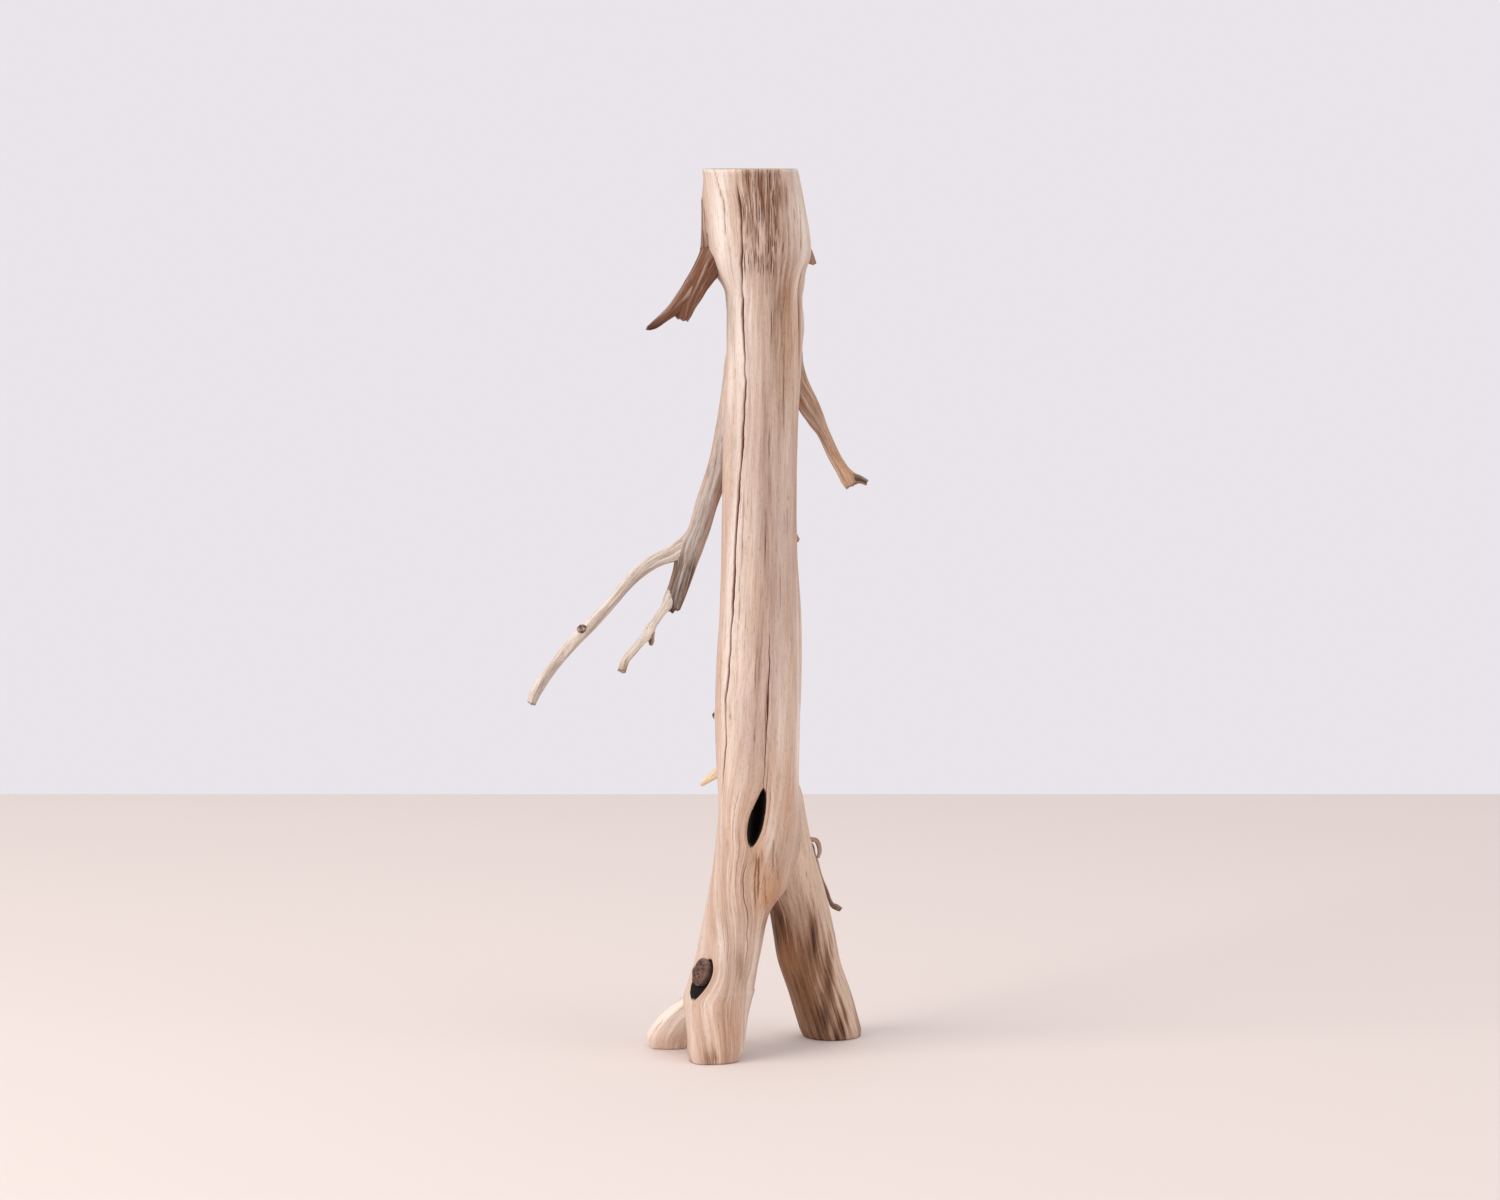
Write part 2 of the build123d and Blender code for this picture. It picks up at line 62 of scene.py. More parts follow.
MM = 0.001
FIGURE_HEIGHT = 380.0
CROTCH_HEIGHT = 66.0
DEPTH_RATIO = 0.94
BACK_LEAN = 4.0
FLUTE_DEPTH = 0.35
FRONT, BACK = -90.0, 90.0
SAWN_TOP = (-2.8, 4.0, FIGURE_HEIGHT)
mounts = {mount["name"]: mount for mount in frame["record"]["mounts"]}
STEM_ORIGIN = np.array(mounts["top_face"]["pos_m"]) / MM - np.array(SAWN_TOP)


# -------- curves and random fields

def smooth(stations, at):
    """Smooth curve through stations (position, values...), read at many positions."""
    table = np.array(stations, float)
    places, values = table[:, 0], table[:, 1:]
    at = np.clip(np.atleast_1d(at), places[0], places[-1])
    i = np.clip(np.searchsorted(places, at, side="right") - 1, 0, len(places) - 2)
    slopes = np.empty_like(values)
    slopes[1:-1] = (values[2:] - values[:-2]) / (places[2:] - places[:-2])[:, None]
    slopes[0] = (values[1] - values[0]) / (places[1] - places[0])
    slopes[-1] = (values[-1] - values[-2]) / (places[-1] - places[-2])
    step = (places[i + 1] - places[i])[:, None]
    share = (at - places[i])[:, None] / step
    rise = values[i + 1] - values[i]
    bend_in = slopes[i] * step - rise
    bend_out = rise - slopes[i + 1] * step
    return values[i] + share * rise + share * (1 - share) * ((1 - share) * bend_in + share * bend_out)


HASH_X, HASH_Y, HASH_Z, HASH_SEED = 73856093, 19349663, 83492791, 9176213
HASH_FIRST, HASH_SECOND = 1274126177, 668265263
HASH_RANGE = 0x7FFFFFFF


def lumps(x, y, z, seed):
    """Soft random field in -1..1 with lumps about one unit across."""
    points = np.stack(np.broadcast_arrays(x, y, z), axis=-1).astype(float)
    cell = np.floor(points).astype(np.int64)
    part = points - cell
    part = part * part * (3 - 2 * part)
    total = 0.0
    for corner in range(8):
        offset = np.array([corner & 1, corner >> 1 & 1, corner >> 2])
        at = cell + offset
        key = at[..., 0] * HASH_X ^ at[..., 1] * HASH_Y ^ at[..., 2] * HASH_Z ^ seed * HASH_SEED
        key = ((key ^ (key >> 13)) * HASH_FIRST) & HASH_RANGE
        key = ((key ^ (key >> 15)) * HASH_SECOND) & HASH_RANGE
        weight = np.prod(np.where(offset == 1, part, 1 - part), axis=-1)
        total = total + weight * (key / (HASH_RANGE / 2) - 1)
    return total


def bell(distance, reach):
    return np.exp(-(distance / reach) ** 2)


def wrapped(angle):
    """An angle brought into -180..180."""
    return (angle + 180) % 360 - 180


def spaced_rows(start, end, coarse, fine_places):
    """Positions from start to end, closer together near the fine places (place, reach, spacing)."""
    easing = 8
    rows = [start]
    while rows[-1] < end:
        step = coarse
        for place, reach, spacing in fine_places:
            away = max(0, abs(rows[-1] - place) - reach)
            step = min(step, spacing + (coarse - spacing) * min(1, away / easing))
        rows.append(rows[-1] + step)
    rows = np.array(rows)
    return start + (rows - start) * (end - start) / (rows[-1] - start)


# -------- the grid of one growth

# The crack mark is the brown of the checks with painted shade, darker the deeper the groove.
# The pit mark is painted shade inside the hollows.
MARKS = ("crack", "pit", "end")
# Stain channels; pale, dark and warm also carry painted highlights and painted shade in places.
STAINS_AND_LIGHT = ("pale", "dusk", "warm", "dark")
# Groove depth at which the painted shade in a crack is full.
FULLY_DARK_DEPTH = 1.2


def extended(field, rings, last):
    """A field with the rings' values after its last row, or before its first one."""
    return np.concatenate([field, rings] if last else [rings, field], axis=0)


class Wood:
    """Points in rows across the grain and columns along it, with what the finish needs to know."""

    def __init__(self, points, outward, grain):
        self.points = points
        self.outward = outward
        self.grain = grain
        for mark in MARKS + STAINS_AND_LIGHT:
            setattr(self, mark, np.zeros(points.shape[:2]))

    def push(self, height):
        """Move every point out of the surface by its own height."""
        self.points = self.points + self.outward * height[..., None]

    def stain(self, mark, place, across, along, strength):
        """Add a soft patch of one stain channel round a place; some patches are painted highlights and
        painted shade.
        """
        apart = self.points - np.array(place)
        level = np.hypot(apart[..., 0], apart[..., 1]) / across
        patch = strength * np.exp(-level ** 2 - (apart[..., 2] / along) ** 2)
        setattr(self, mark, np.clip(getattr(self, mark) + patch, 0, 1))

    def paint_all_stains_and_light(self, patches_by_mark):
        """Add every patch (place, reach across, reach along, strength) of a table of stains, painted
        highlights and painted shade.
        """
        for mark, patches in patches_by_mark.items():
            for patch in patches:
                self.stain(mark, *patch)

    def groove(self, offset, width, depth, share=1.0):
        """Sink a narrow groove where offset, the distance from its line, is small; its crack mark is brown
        with painted shade, darker the deeper the groove.
        """
        fall = np.clip(1 - np.abs(offset) / (width / 2), 0, 1) * share
        self.push(-depth * fall)
        # Painted shade in the groove, growing with its depth.
        darkness = np.clip(1.6 * fall, 0, 1) * min(1, depth / FULLY_DARK_DEPTH)
        self.crack = np.maximum(self.crack, darkness)

    def close_end(self, last, rings, bulge, direction, worn):
        """Close one end with rings, when its shape is done; worn is how far its rim is rounded."""
        row = -1 if last else 0
        rim, rim_grain = self.points[row], self.grain[row]
        centre = rim.mean(axis=0)
        grain_centre = np.array([0, 0, rim_grain[:, 2].mean()])
        size = np.linalg.norm(rim - centre, axis=1).mean()
        shares = np.append(1 - 0.35 * worn, np.linspace(1 - 1.1 * worn, 0.03, rings + 1))
        heights = bulge * (1 - shares ** 2)
        heights[0] -= 0.8 * worn * size
        shares, heights = shares[:, None, None], heights[:, None, None]
        points = centre + (rim - centre) * shares + np.array(direction) * heights
        grain = grain_centre + (rim_grain - grain_centre) * shares
        if not last:
            points, grain = points[::-1], grain[::-1]
        self.points = extended(self.points, points, last)
        self.grain = extended(self.grain, grain, last)
        for mark in ("crack", "pit") + STAINS_AND_LIGHT:
            field = getattr(self, mark)
            setattr(self, mark, extended(field, np.tile(field[row], (len(points), 1)), last))
        self.end = extended(self.end, np.ones(points.shape[:2]), last)

    def mesh_data(self, first):
        """Vertices, faces, grain, marks and stains (painted light and shade among them), with vertex numbers
        that begin at first.
        """
        rows, columns = self.points.shape[:2]
        number = first + np.arange(rows * columns).reshape(rows, columns)
        here, beyond = number[:-1], number[1:]
        faces = np.stack([here, np.roll(here, -1, 1), np.roll(beyond, -1, 1), beyond], axis=-1)
        faces = faces.reshape(-1, 4).tolist()
        low, high = first + rows * columns, first + rows * columns + 1
        around = range(columns)
        faces += [(low, int(number[0][(i + 1) % columns]), int(number[0][i])) for i in around]
        faces += [(high, int(number[-1][i]), int(number[-1][(i + 1) % columns])) for i in around]

        def with_poles(field):
            flat = field.reshape(rows * columns, -1)
            poles = np.array([field[0].mean(axis=0), field[-1].mean(axis=0)]).reshape(2, -1)
            return np.concatenate([flat, poles])

        marks, stains = (np.concatenate([with_poles(getattr(self, mark)) for mark in names], axis=1)
                         for names in (MARKS, STAINS_AND_LIGHT))
        return with_poles(self.points), faces, with_poles(self.grain), marks, stains


def unevenness(wood, layers, seed):
    """Flutes and strands that run with the grain, from layers of (height, width, length)."""
    x, y, z = (wood.grain[..., i] for i in range(3))
    return sum(height * lumps(x / width, y / width, z / length, seed + i)
               for i, (height, width, length) in enumerate(layers))


# -------- how growths flow into each other

def tube_gap(points, chain):
    """Distance from points to a bent limb, given as a chain of (centre, radius)."""
    flat = points.reshape(-1, 3)
    nearest = np.full(len(flat), np.inf)
    for centre, radius in chain:
        nearest = np.minimum(nearest, np.linalg.norm(flat - centre, axis=1) - radius)
    return nearest.reshape(points.shape[:2])


def level_gap(points, sections):
    """Distance from points to a growth made of level sections, negative inside it."""
    probe = 0.5
    height = points[..., 2]
    level = np.clip(height, sections[0][0], sections[-1][0])
    here = smooth(sections, level.ravel()).reshape(level.shape + (4,))
    above = smooth(sections, level.ravel() + probe).reshape(level.shape + (4,))
    apart = points[..., :2] - here[..., :2]
    size = here[..., 2:].mean(axis=-1)
    gap = (np.hypot(apart[..., 0] / here[..., 2], apart[..., 1] / here[..., 3]) - 1) * size
    slope = ((above - here)[..., :2] * apart).sum(axis=-1) / np.maximum(np.linalg.norm(apart, axis=-1), 0.1)
    slope = (slope + (above - here)[..., 2:].mean(axis=-1)) / probe
    gap = gap / np.sqrt(1 + slope ** 2)
    beyond = np.abs(height - level)
    return np.where(beyond > 0, np.hypot(np.maximum(gap, 0), beyond), gap)


def swell(wood, gap, reach, sink=0.9, deepest=3.0):
    """Blend a growth into another: it swells as it nears it and dives once it is inside."""
    outside = reach / 4 * np.clip(1 - gap / reach, 0, 1) ** 2
    inside = np.maximum(reach / 4 + sink * gap, -deepest)
    wood.push(np.where(gap > 0, outside, inside))


# -------- sections, checks and eyes of the stem

def stem_section(share, x, y, half_width):
    """Section a share of the way from the crotch to the top: height, middle, half width, half depth."""
    height = CROTCH_HEIGHT + share * (FIGURE_HEIGHT - CROTCH_HEIGHT)
    return (height, x, y + BACK_LEAN * share ** 2, half_width, DEPTH_RATIO * half_width)


FRONT_LEG = [(share * CROTCH_HEIGHT, x, y, radius, radius) for share, x, y, radius in (
    (0.00, -18.7, -25.0, 11.4), (0.38, -15.6, -20.0, 12.2), (0.70, -12.2, -14.8, 13.1),
    (0.94, -8.8, -10.0, 13.6))]
STEM = FRONT_LEG + [stem_section(*section) for section in (
    (0.016, -5.0, -8.0, 15.8), (0.045, -2.5, -6.8, 16.8), (0.083, -0.4, -5.0, 17.3),
    (0.127, 0.4, -3.2, 17.0), (0.188, 0.0, -1.4, 17.5), (0.280, 0.0, 0.0, 17.9), (0.395, 0.7, 0.0, 16.9),
    (0.506, 0.8, 0.0, 15.9), (0.634, 1.5, 0.0, 15.9), (0.745, 3.2, 0.0, 15.9), (0.831, 3.0, 0.0, 16.4),
    (0.857, 2.3, 0.0, 18.4), (0.882, 2.6, 0.0, 20.7), (0.911, 1.7, 0.0, 21.3), (0.955, -0.3, 0.0, 20.8),
    (1.000, -2.8, 0.0, 20.4))]
TOE = [(0.0, -38.9, 4.0, 9.6, 9.0), (5.0, -38.5, 3.4, 10.0, 9.4), (11.0, -35.6, 0.6, 9.6, 9.4),
       (19.0, -29.4, -5.0, 9.0, 9.0), (30.0, -18.7, -14.0, 5.2, 5.2)]
REAR_LEG_TOP = 124.0
REAR_FOOT = (33.2, 27.0)
REAR_LEG = [(share * REAR_LEG_TOP, REAR_FOOT[0] + x, REAR_FOOT[1] + y, radius, radius)
            for share, x, y, radius in (
                (0.00, 0.0, 0.0, 13.2), (0.08, -2.8, -2.6, 13.2), (0.17, -6.0, -5.0, 13.2),
                (0.28, -10.4, -9.0, 13.2), (0.38, -12.7, -12.0, 13.0), (0.53, -16.0, -17.0, 12.2),
                (0.68, -20.0, -20.0, 11.2), (0.84, -24.0, -22.5, 10.2), (1.00, -28.0, -24.5, 8.6))]

# The long drying checks, as places (height, x) down the front.
MAIN_CHECK = [(114.0, -14.8), (136.1, -13.0), (152.9, -13.2), (166.7, -11.8), (188.6, -10.4),
              (221.2, -9.0), (256.2, -6.8), (286.4, -5.1), (305.9, -5.5), (329.2, -6.4),
              (350.3, -6.7), (365.0, -7.0), (371.7, -8.4), (380.0, -9.2)]
SECOND_CHECK = [(33.8, -7.7), (41.2, -5.1), (60.0, -4.3), (77.3, -6.0), (91.6, -2.9), (104.2, -0.2),
                (115.8, 2.6), (128.8, 3.8), (146.0, 4.7), (180.4, 5.5), (230.0, 5.6), (380.0, 6.2)]
# Shorter fissures as ((height, x) places from low to high, width, depth).
FISSURES = [
    ([(350.3, -13.3), (365.0, -14.0), (370.9, -15.7), (379.7, -18.2)], 0.7, 1.0),
    ([(352.0, 7.8), (361.0, 7.8)], 0.6, 1.0), ([(356.0, 15.8), (364.0, 15.6)], 0.6, 0.8),
    ([(346.0, 18.8), (362.0, 18.4)], 0.7, 1.2), ([(344.5, 10.9), (349.0, 10.9)], 0.6, 1.0),
    ([(270.0, 11.4), (294.0, 11.2)], 0.6, 0.7), ([(336.0, 6.0), (346.0, 6.3)], 0.5, 0.8),
    ([(66.0, -0.9), (89.0, -0.4)], 0.8, 0.8),
    ([(70.0, 0.6), (88.0, 0.9)], 1.0, 0.9), ([(63.0, 3.0), (80.0, 3.8)], 0.7, 0.7),
    ([(80.0, 7.2), (95.0, 7.4)], 0.9, 0.7), ([(74.0, 9.2), (90.0, 8.8)], 0.6, 0.6),
    ([(84.0, 2.6), (91.0, 2.2)], 0.6, 0.6), ([(60.0, 8.0), (70.0, 9.6)], 0.6, 0.6),
    ([(212.0, 3.6), (236.0, 3.9)], 0.5, 0.5), ([(146.0, -15.6), (176.0, -15.0)], 0.5, 0.5),
]

# An eye is a place that the grain parts round; core is half the width of the columns it opens between.
Eye = namedtuple("Eye", "bearing height half_width half_length lean core")
HOLLOW = Eye(FRONT - 1.2, 104.2, 3.3, 12.6, 0.0, 0.8)
KNOT_HOLLOW = Eye(-138.0, 35.5, 4.3, 10.6, 31.0, 0.8)
LIMB_EYES = [Eye(174, 342, 6.0, 26, 0, 1.2), Eye(137, 296, 4.0, 14, 0, 1.0), Eye(42, 300, 3.6, 12, 0, 1.0),
             Eye(24, 343.5, 2.4, 8, 0, 0.8), Eye(20, 222.5, 2.0, 7, 0, 0.8), Eye(176, 145.7, 1.3, 4, 0, 0.6),
             Eye(128, 122, 2.4, 8, 0, 0.8)]


def eye_shape(along, half_width, half_length):
    """Half width of a pointed eye at each place along it, widest a little below its middle."""
    share = np.clip(along / half_length, -1, 1)
    return half_width * (1 - share ** 2) ** 0.85 * (1 - 0.3 * share)


def part_grain(bearing, height, radius, eye):
    """Bend the columns round an eye in the grain; also gives the distances across and along it."""
    row = np.argmin(np.abs(height - eye.height))
    column = np.argmin(np.abs(wrapped(bearing[row] - eye.bearing)))
    across = np.radians(wrapped(bearing - bearing[:, column][:, None])) * radius
    rise = height[:, None] - eye.height
    along = rise / math.cos(math.radians(eye.lean))
    opening = eye_shape(along, eye.half_width, eye.half_length)
    width = np.sqrt(eye.core ** 2 + opening ** 2)
    beyond = np.maximum(np.abs(across) - eye.core, 0)
    share = np.minimum(np.abs(across) / eye.core, 1)
    crowd = 1 - 0.65 * np.clip(2 * opening / eye.half_width, 0, 1)
    reach = 2.2 * eye.half_width
    inner = np.sign(across) * width * share ** crowd
    outer = across + np.sign(across) * (width - eye.core) * np.exp(-beyond / reach)
    shift = np.where(share < 1, inner, outer) - across
    leant = math.tan(math.radians(eye.lean)) * rise * bell(across, reach) * bell(rise, 1.6 * eye.half_length)
    return bearing + np.degrees((shift + leant) / radius), across, np.broadcast_to(along, across.shape)


# -------- stem, rear leg and toe

STEM_COLUMNS = 272
STRAIGHT_HEIGHT = 220
LEFT_SIDE = -163.0
# Where the stem's rows lie closer together, as (height, reach, spacing).
STEM_FINE_ROWS = [(104, 14, 0.75), (36, 12, 0.8), (378, 3, 0.6), (0, 2, 0.7), (343, 6, 1.1)]
STEM_LAYERS = [(0.55, 9, 70), (0.32, 3.4, 46), (0.16, 1.5, 22)]
LEG_LAYERS = [(0.6, 7, 50), (0.35, 2.8, 34), (0.15, 1.3, 16)]


def front_bearing(x, heights):
    """Bearing round the stem of the place on its front that lies x to the side, at each height."""
    table = smooth(STEM, heights)
    return FRONT + np.degrees(np.arcsin(np.clip((x - table[:, 0]) / table[:, 2], -0.97, 0.97)))


def stem_columns(count, main_line, second_line):
    """Bearings of the columns, closest together on the front and beside the two checks."""
    fine = np.linspace(BACK - 360, BACK, 2000)
    density = 1 + 0.9 * bell(fine - FRONT, 55) + 3.0 * bell(fine - main_line, 2.2)
    density += 3.0 * bell(fine - second_line, 3.0) + 1.6 * bell(fine - LEFT_SIDE, 6)
    reached = np.concatenate([[0], np.cumsum((density[1:] + density[:-1]) / 2)])
    return np.interp(np.arange(count) / count * reached[-1], reached, fine)


def level_wood(sections, heights, columns, turn=0.0):
    """Grid of a growth with level sections; turn is how far the grain has turned at each point."""
    table = smooth(sections, heights)
    x, y, half_width, half_depth = (table[:, i][:, None] for i in range(4))
    angle = np.radians(columns[None] + (np.zeros((len(heights), 1)) + turn))
    drift = 2.4 * heights[:, None] / FIGURE_HEIGHT
    flute = FLUTE_DEPTH * (np.cos(3 * angle + drift) + 0.6 * np.cos(2 * angle - drift))
    level = np.broadcast_to(heights[:, None], angle.shape)
    points = np.stack([x + (half_width + flute) * np.cos(angle), y + (half_depth + flute) * np.sin(angle),
                       level], axis=-1)
    outward = np.stack([np.cos(angle), np.sin(angle), np.zeros_like(angle)], axis=-1)
    grown = np.radians(columns)[None]
    size = half_width.mean()
    grain = np.stack([np.broadcast_to(size * np.cos(grown), angle.shape),
                      np.broadcast_to(size * np.sin(grown), angle.shape), level], axis=-1)
    wood = Wood(points, outward, grain)
    wood.heights = heights
    wood.columns = columns
    return wood


def make_stem():
    """Stem and front leg: the grain follows the checks and parts round the hollows and the limbs."""
    heights = spaced_rows(0, FIGURE_HEIGHT, 1.7, STEM_FINE_ROWS)
    main, second = (front_bearing(smooth(check, heights)[:, 0], heights)
                    for check in (MAIN_CHECK, SECOND_CHECK))
    straight = np.searchsorted(heights, STRAIGHT_HEIGHT)
    main_line, second_line = main[straight], second[straight]
    columns = stem_columns(STEM_COLUMNS, main_line, second_line)
    turn = np.array([np.interp(columns, [BACK - 360, main_line, second_line, BACK],
                               [0, m - main_line, s - second_line, 0]) for m, s in zip(main, second)])
    radius = smooth(STEM, heights)[:, 2][:, None]
    bearing = columns[None] + turn
    for eye in LIMB_EYES:
        bearing = part_grain(bearing, heights, radius, eye)[0]
    bearing, *hollow = part_grain(bearing, heights, radius, HOLLOW)
    bearing, *knot = part_grain(bearing, heights, radius, KNOT_HOLLOW)
    stem = level_wood(STEM, heights, columns, bearing - columns[None])
    fade = np.clip((FIGURE_HEIGHT - heights) / 3, 0.25, 1) * np.clip(heights / 3, 0.25, 1)
    stem.push(fade[:, None] * unevenness(stem, STEM_LAYERS, 3))
    stem.checks = (main, second)
    stem.hollows = ((hollow, HOLLOW, 15.0), (knot, KNOT_HOLLOW, 7.0))
    return stem


def make_lower_growth(sections, heights, column_count, seed):
    """Rear leg or toe."""
    wood = level_wood(sections, heights, np.arange(column_count) / column_count * 360.0)
    wood.push(unevenness(wood, LEG_LAYERS, seed))
    return wood


def beside(stem, place):
    """Distance round the stem from a bearing, at every point."""
    return np.radians(wrapped(stem.bearing - place)) * stem.radius


def raise_strand(stem, height):
    """Strand of grain that stands proud down the right side, with painted shade in the furrow in front of it.
    """
    foot, length, low_bearing, turn, furrow_gap = 122, 92, 24, 10, 4.6
    share = np.clip((height - foot) / length, 0, 1)
    strand = beside(stem, low_bearing - turn * share)
    furrow = strand + furrow_gap
    rise = np.sin(np.pi * share) ** 0.7
    stem.push(rise * (2.4 * bell(strand, 2.6) - 1.2 * bell(furrow, 1.2)))
    stem.warm += 0.5 * rise * bell(strand, 3.6)
    # Painted shade in the furrow.
    stem.crack = np.maximum(stem.crack, 0.55 * rise * bell(furrow, 0.6))
    stem.pale += 0.8 * rise * bell(strand, 2.4)


def lift_flake(stem, height):
    """Flake of old wood above the right arm, and the dark slit over it."""
    flake_height, slit_height = 314, 331
    flake = beside(stem, -22)
    stem.push(1.3 * bell(flake - 4.5, 2.4) * bell(height - flake_height, 9))
    stem.groove(flake, 2.4, 1.9, bell(height - (flake_height - 1), 12))
    stem.groove(flake + 1.2, 1.6, 1.5, bell(height - slit_height, 6))
    stem.push(0.9 * bell(flake - 5.0, 3.0) * bell(height - slit_height, 5))


def raise_lip(stem, height):
    """Lip of wood over the fork, with a painted orange-brown highlight on it."""
    lip_height = 70
    lip = beside(stem, -47)
    stem.push(1.6 * bell(lip, 6.5) * bell(height - lip_height, 8))
    # Painted orange-brown highlight on the lip's bulge.
    stem.warm += 0.4 * bell(lip, 5.5) * bell(height - (lip_height - 2), 6)


GAPE_HEIGHT = 365


def open_check(stem, line, low, high, width, depth, seed):
    """A long drying check along a line of bearings, between two heights; it gapes near the top."""
    heights = stem.heights
    wander = 0.35 * lumps(heights / 5.0, 0.3, seed, 11) + 0.16 * lumps(heights / 1.9, 0.7, seed, 12)
    opening = np.clip((heights - low) / 16, 0, 1) * np.clip((high - heights) / 8, 0, 1)
    opening = opening ** 0.6 * (0.78 + 0.35 * lumps(heights / 11, 0.5, seed, 13))
    opening = (opening * (1 + 0.25 * bell(heights - GAPE_HEIGHT, 7)))[:, None]
    offset = beside(stem, line[:, None]) - wander[:, None]
    share = np.clip(opening, 0, 1.6) * (opening > 0.02)
    stem.groove(offset / np.clip(opening, 0.3, 1.6), width, depth, share)
    stem.push(0.12 * share * bell(np.abs(offset) - 1.1, 0.5))


def open_fissures(stem):
    """Short fissures, each along its own line."""
    for line, width, depth in FISSURES:
        rows = np.array(line)
        x = np.interp(stem.heights, rows[:, 0], rows[:, 1])
        middle, half = rows[:, 0].mean(), np.ptp(rows[:, 0]) / 2
        share = np.clip(1 - np.abs((stem.heights - middle) / half) ** 3, 0, 1) ** 0.5
        wander = 0.3 * lumps(stem.heights / 3.0, x[0], 0.4, 14)
        offset = beside(stem, front_bearing(x, stem.heights)[:, None]) - wander[:, None]
        stem.groove(offset, width, depth, share[:, None])


def sink_hollows(stem):
    """Almond hollow in the stem and knot hollow in the front leg, with painted shade inside both."""
    for (across, along), eye, depth in stem.hollows:
        opening = eye_shape(along, eye.half_width, eye.half_length)
        core = eye.core * np.clip(opening / eye.core, 0, 1)
        inside = (np.abs(across) <= core) & (opening > 0.3)
        rim = np.maximum(np.abs(across) - core, 0)
        stem.push(-0.5 * bell(rim, 0.8) * bell(along, eye.half_length * 1.05) * ~inside)
        stem.push(-depth * inside * np.clip(opening / eye.half_width, 0.2, 1))
        # The pit mark paints near-black shade inside each hollow, reaching one column past its edges.
        stem.pit = np.maximum(stem.pit, inside | np.roll(inside, 1, axis=1) | np.roll(inside, -1, axis=1))
        stem.warm += 0.35 * bell(rim, 1.6) * bell(along, eye.half_length * 1.1)


def carve_stem(stem):
    """Everything that stands proud of the stem or is cut into it."""
    table = smooth(STEM, stem.heights)[:, :, None]
    aside, behind = stem.points[..., 0] - table[:, 0], stem.points[..., 1] - table[:, 1]
    stem.bearing = np.degrees(np.arctan2(behind / DEPTH_RATIO, aside))
    stem.radius = table[:, 2]
    height = stem.points[..., 2]
    raise_strand(stem, height)
    lift_flake(stem, height)
    raise_lip(stem, height)
    main, second = stem.checks
    open_check(stem, main, low=111, high=374, width=1.5, depth=1.3, seed=1)
    open_check(stem, second, low=116, high=184, width=0.75, depth=1.8, seed=2)
    open_check(stem, second, low=34, high=92, width=0.5, depth=0.8, seed=3)
    open_fissures(stem)
    sink_hollows(stem)


def scatter_fissures(wood, size, random, count, low, high, width=(0.25, 0.5), depth=(0.25, 0.8),
                     length=(5, 18), side=(-180, 180)):
    """Short cracks along the grain, at random places round a growth of about this size."""
    level = wood.grain[..., 2]
    for fissure in range(count):
        column, place = random.uniform(*side), random.uniform(low, high)
        half = random.uniform(*length)
        near = np.abs(level - place) < half
        if not near.any():
            continue
        share = np.clip(1 - ((level - place) / half) ** 2, 0, 1)
        wander = 0.25 * lumps(level / 3.5, fissure * 3.1, 0.2, 17)
        offset = np.radians(wrapped(wood.columns[None] - column)) * size + wander
        wood.groove(np.where(near, offset, 99.0), random.uniform(*width), random.uniform(*depth), share)


def thigh_reach(wood, sections, facing):
    """How far stem and rear leg flow into each other: far where they face, little in the fork."""
    x, y, z = (wood.points[..., i] for i in range(3))
    middle = smooth(sections, z.ravel()).reshape(z.shape + (4,))
    bearing = np.degrees(np.arctan2(y - middle[..., 1], x - middle[..., 0]))
    fork, top, everywhere, more_facing = 48, 126, 8, 12
    high = np.clip((z - fork) / 20, 0, 1) * np.clip((top - z) / 40, 0, 1)
    facing_share = bell(wrapped(bearing - facing), 70)
    return everywhere * np.clip((top - z) / 16, 0.2, 1) + more_facing * facing_share * high


def blend_legs(stem, leg, toe):
    """Let stem, rear leg and toe flow into each other; the toe does so less towards its top."""
    stem_share, toe_reach, toe_top_reach = 0.6, 18.0, 2.0
    leg_gap, toe_gap = level_gap(stem.points, REAR_LEG), level_gap(stem.points, TOE)
    swell(stem, leg_gap, stem_share * thigh_reach(stem, STEM, facing=10))
    swell(stem, toe_gap, toe_reach)
    low = np.clip((28 - toe.points[..., 2]) / 12, 0, 1)
    swell(toe, level_gap(toe.points, STEM), toe_top_reach + (toe_reach - toe_top_reach) * low)
    swell(leg, level_gap(leg.points, STEM), thigh_reach(leg, REAR_LEG, facing=-85))


def wear_foot(wood, height, depth, seed):
    """Round the wood off where it meets the ground."""
    z = wood.points[..., 2]
    left = np.clip(1 - z / height, 0, 1) ** 2
    x, y = wood.outward[..., 0], wood.outward[..., 1]
    wood.push(-depth * left * (0.8 + 0.6 * lumps(1.6 * x, 1.6 * y, z / 4, seed)))


# -------- limbs

def limb_frames(along):
    """Two directions across a limb at each row, carried along it without twisting."""
    across = np.cross([0, 1, 0], along[0])
    first, second = [], []
    for direction in along:
        across = across - direction * across.dot(direction)
        across = across / np.linalg.norm(across)
        first.append(across)
        second.append(np.cross(direction, across))
    return np.array(first)[:, None], np.array(second)[:, None]


def break_off(wood, angle, ragged, seed):
    """Draw the last rows of a limb out into a ragged, dark end."""
    left = (wood.places[-1] - wood.places)[:, None]
    edge = lumps(np.cos(angle) * 1.9, np.sin(angle) * 1.9, 0.5, seed + 2)
    edge = edge + 0.6 * lumps(np.cos(angle) * 4.5, np.sin(angle) * 4.5, 0.5, seed + 3)
    reach = np.clip(1 - left / (2.2 * ragged), 0, 1)
    wood.points = wood.points + wood.along[:, None] * (ragged * reach * (edge - 0.35)[None])[..., None]
    wood.dark = np.maximum(wood.dark, 0.6 * np.clip(1 - left / (1.5 * ragged), 0, 1))


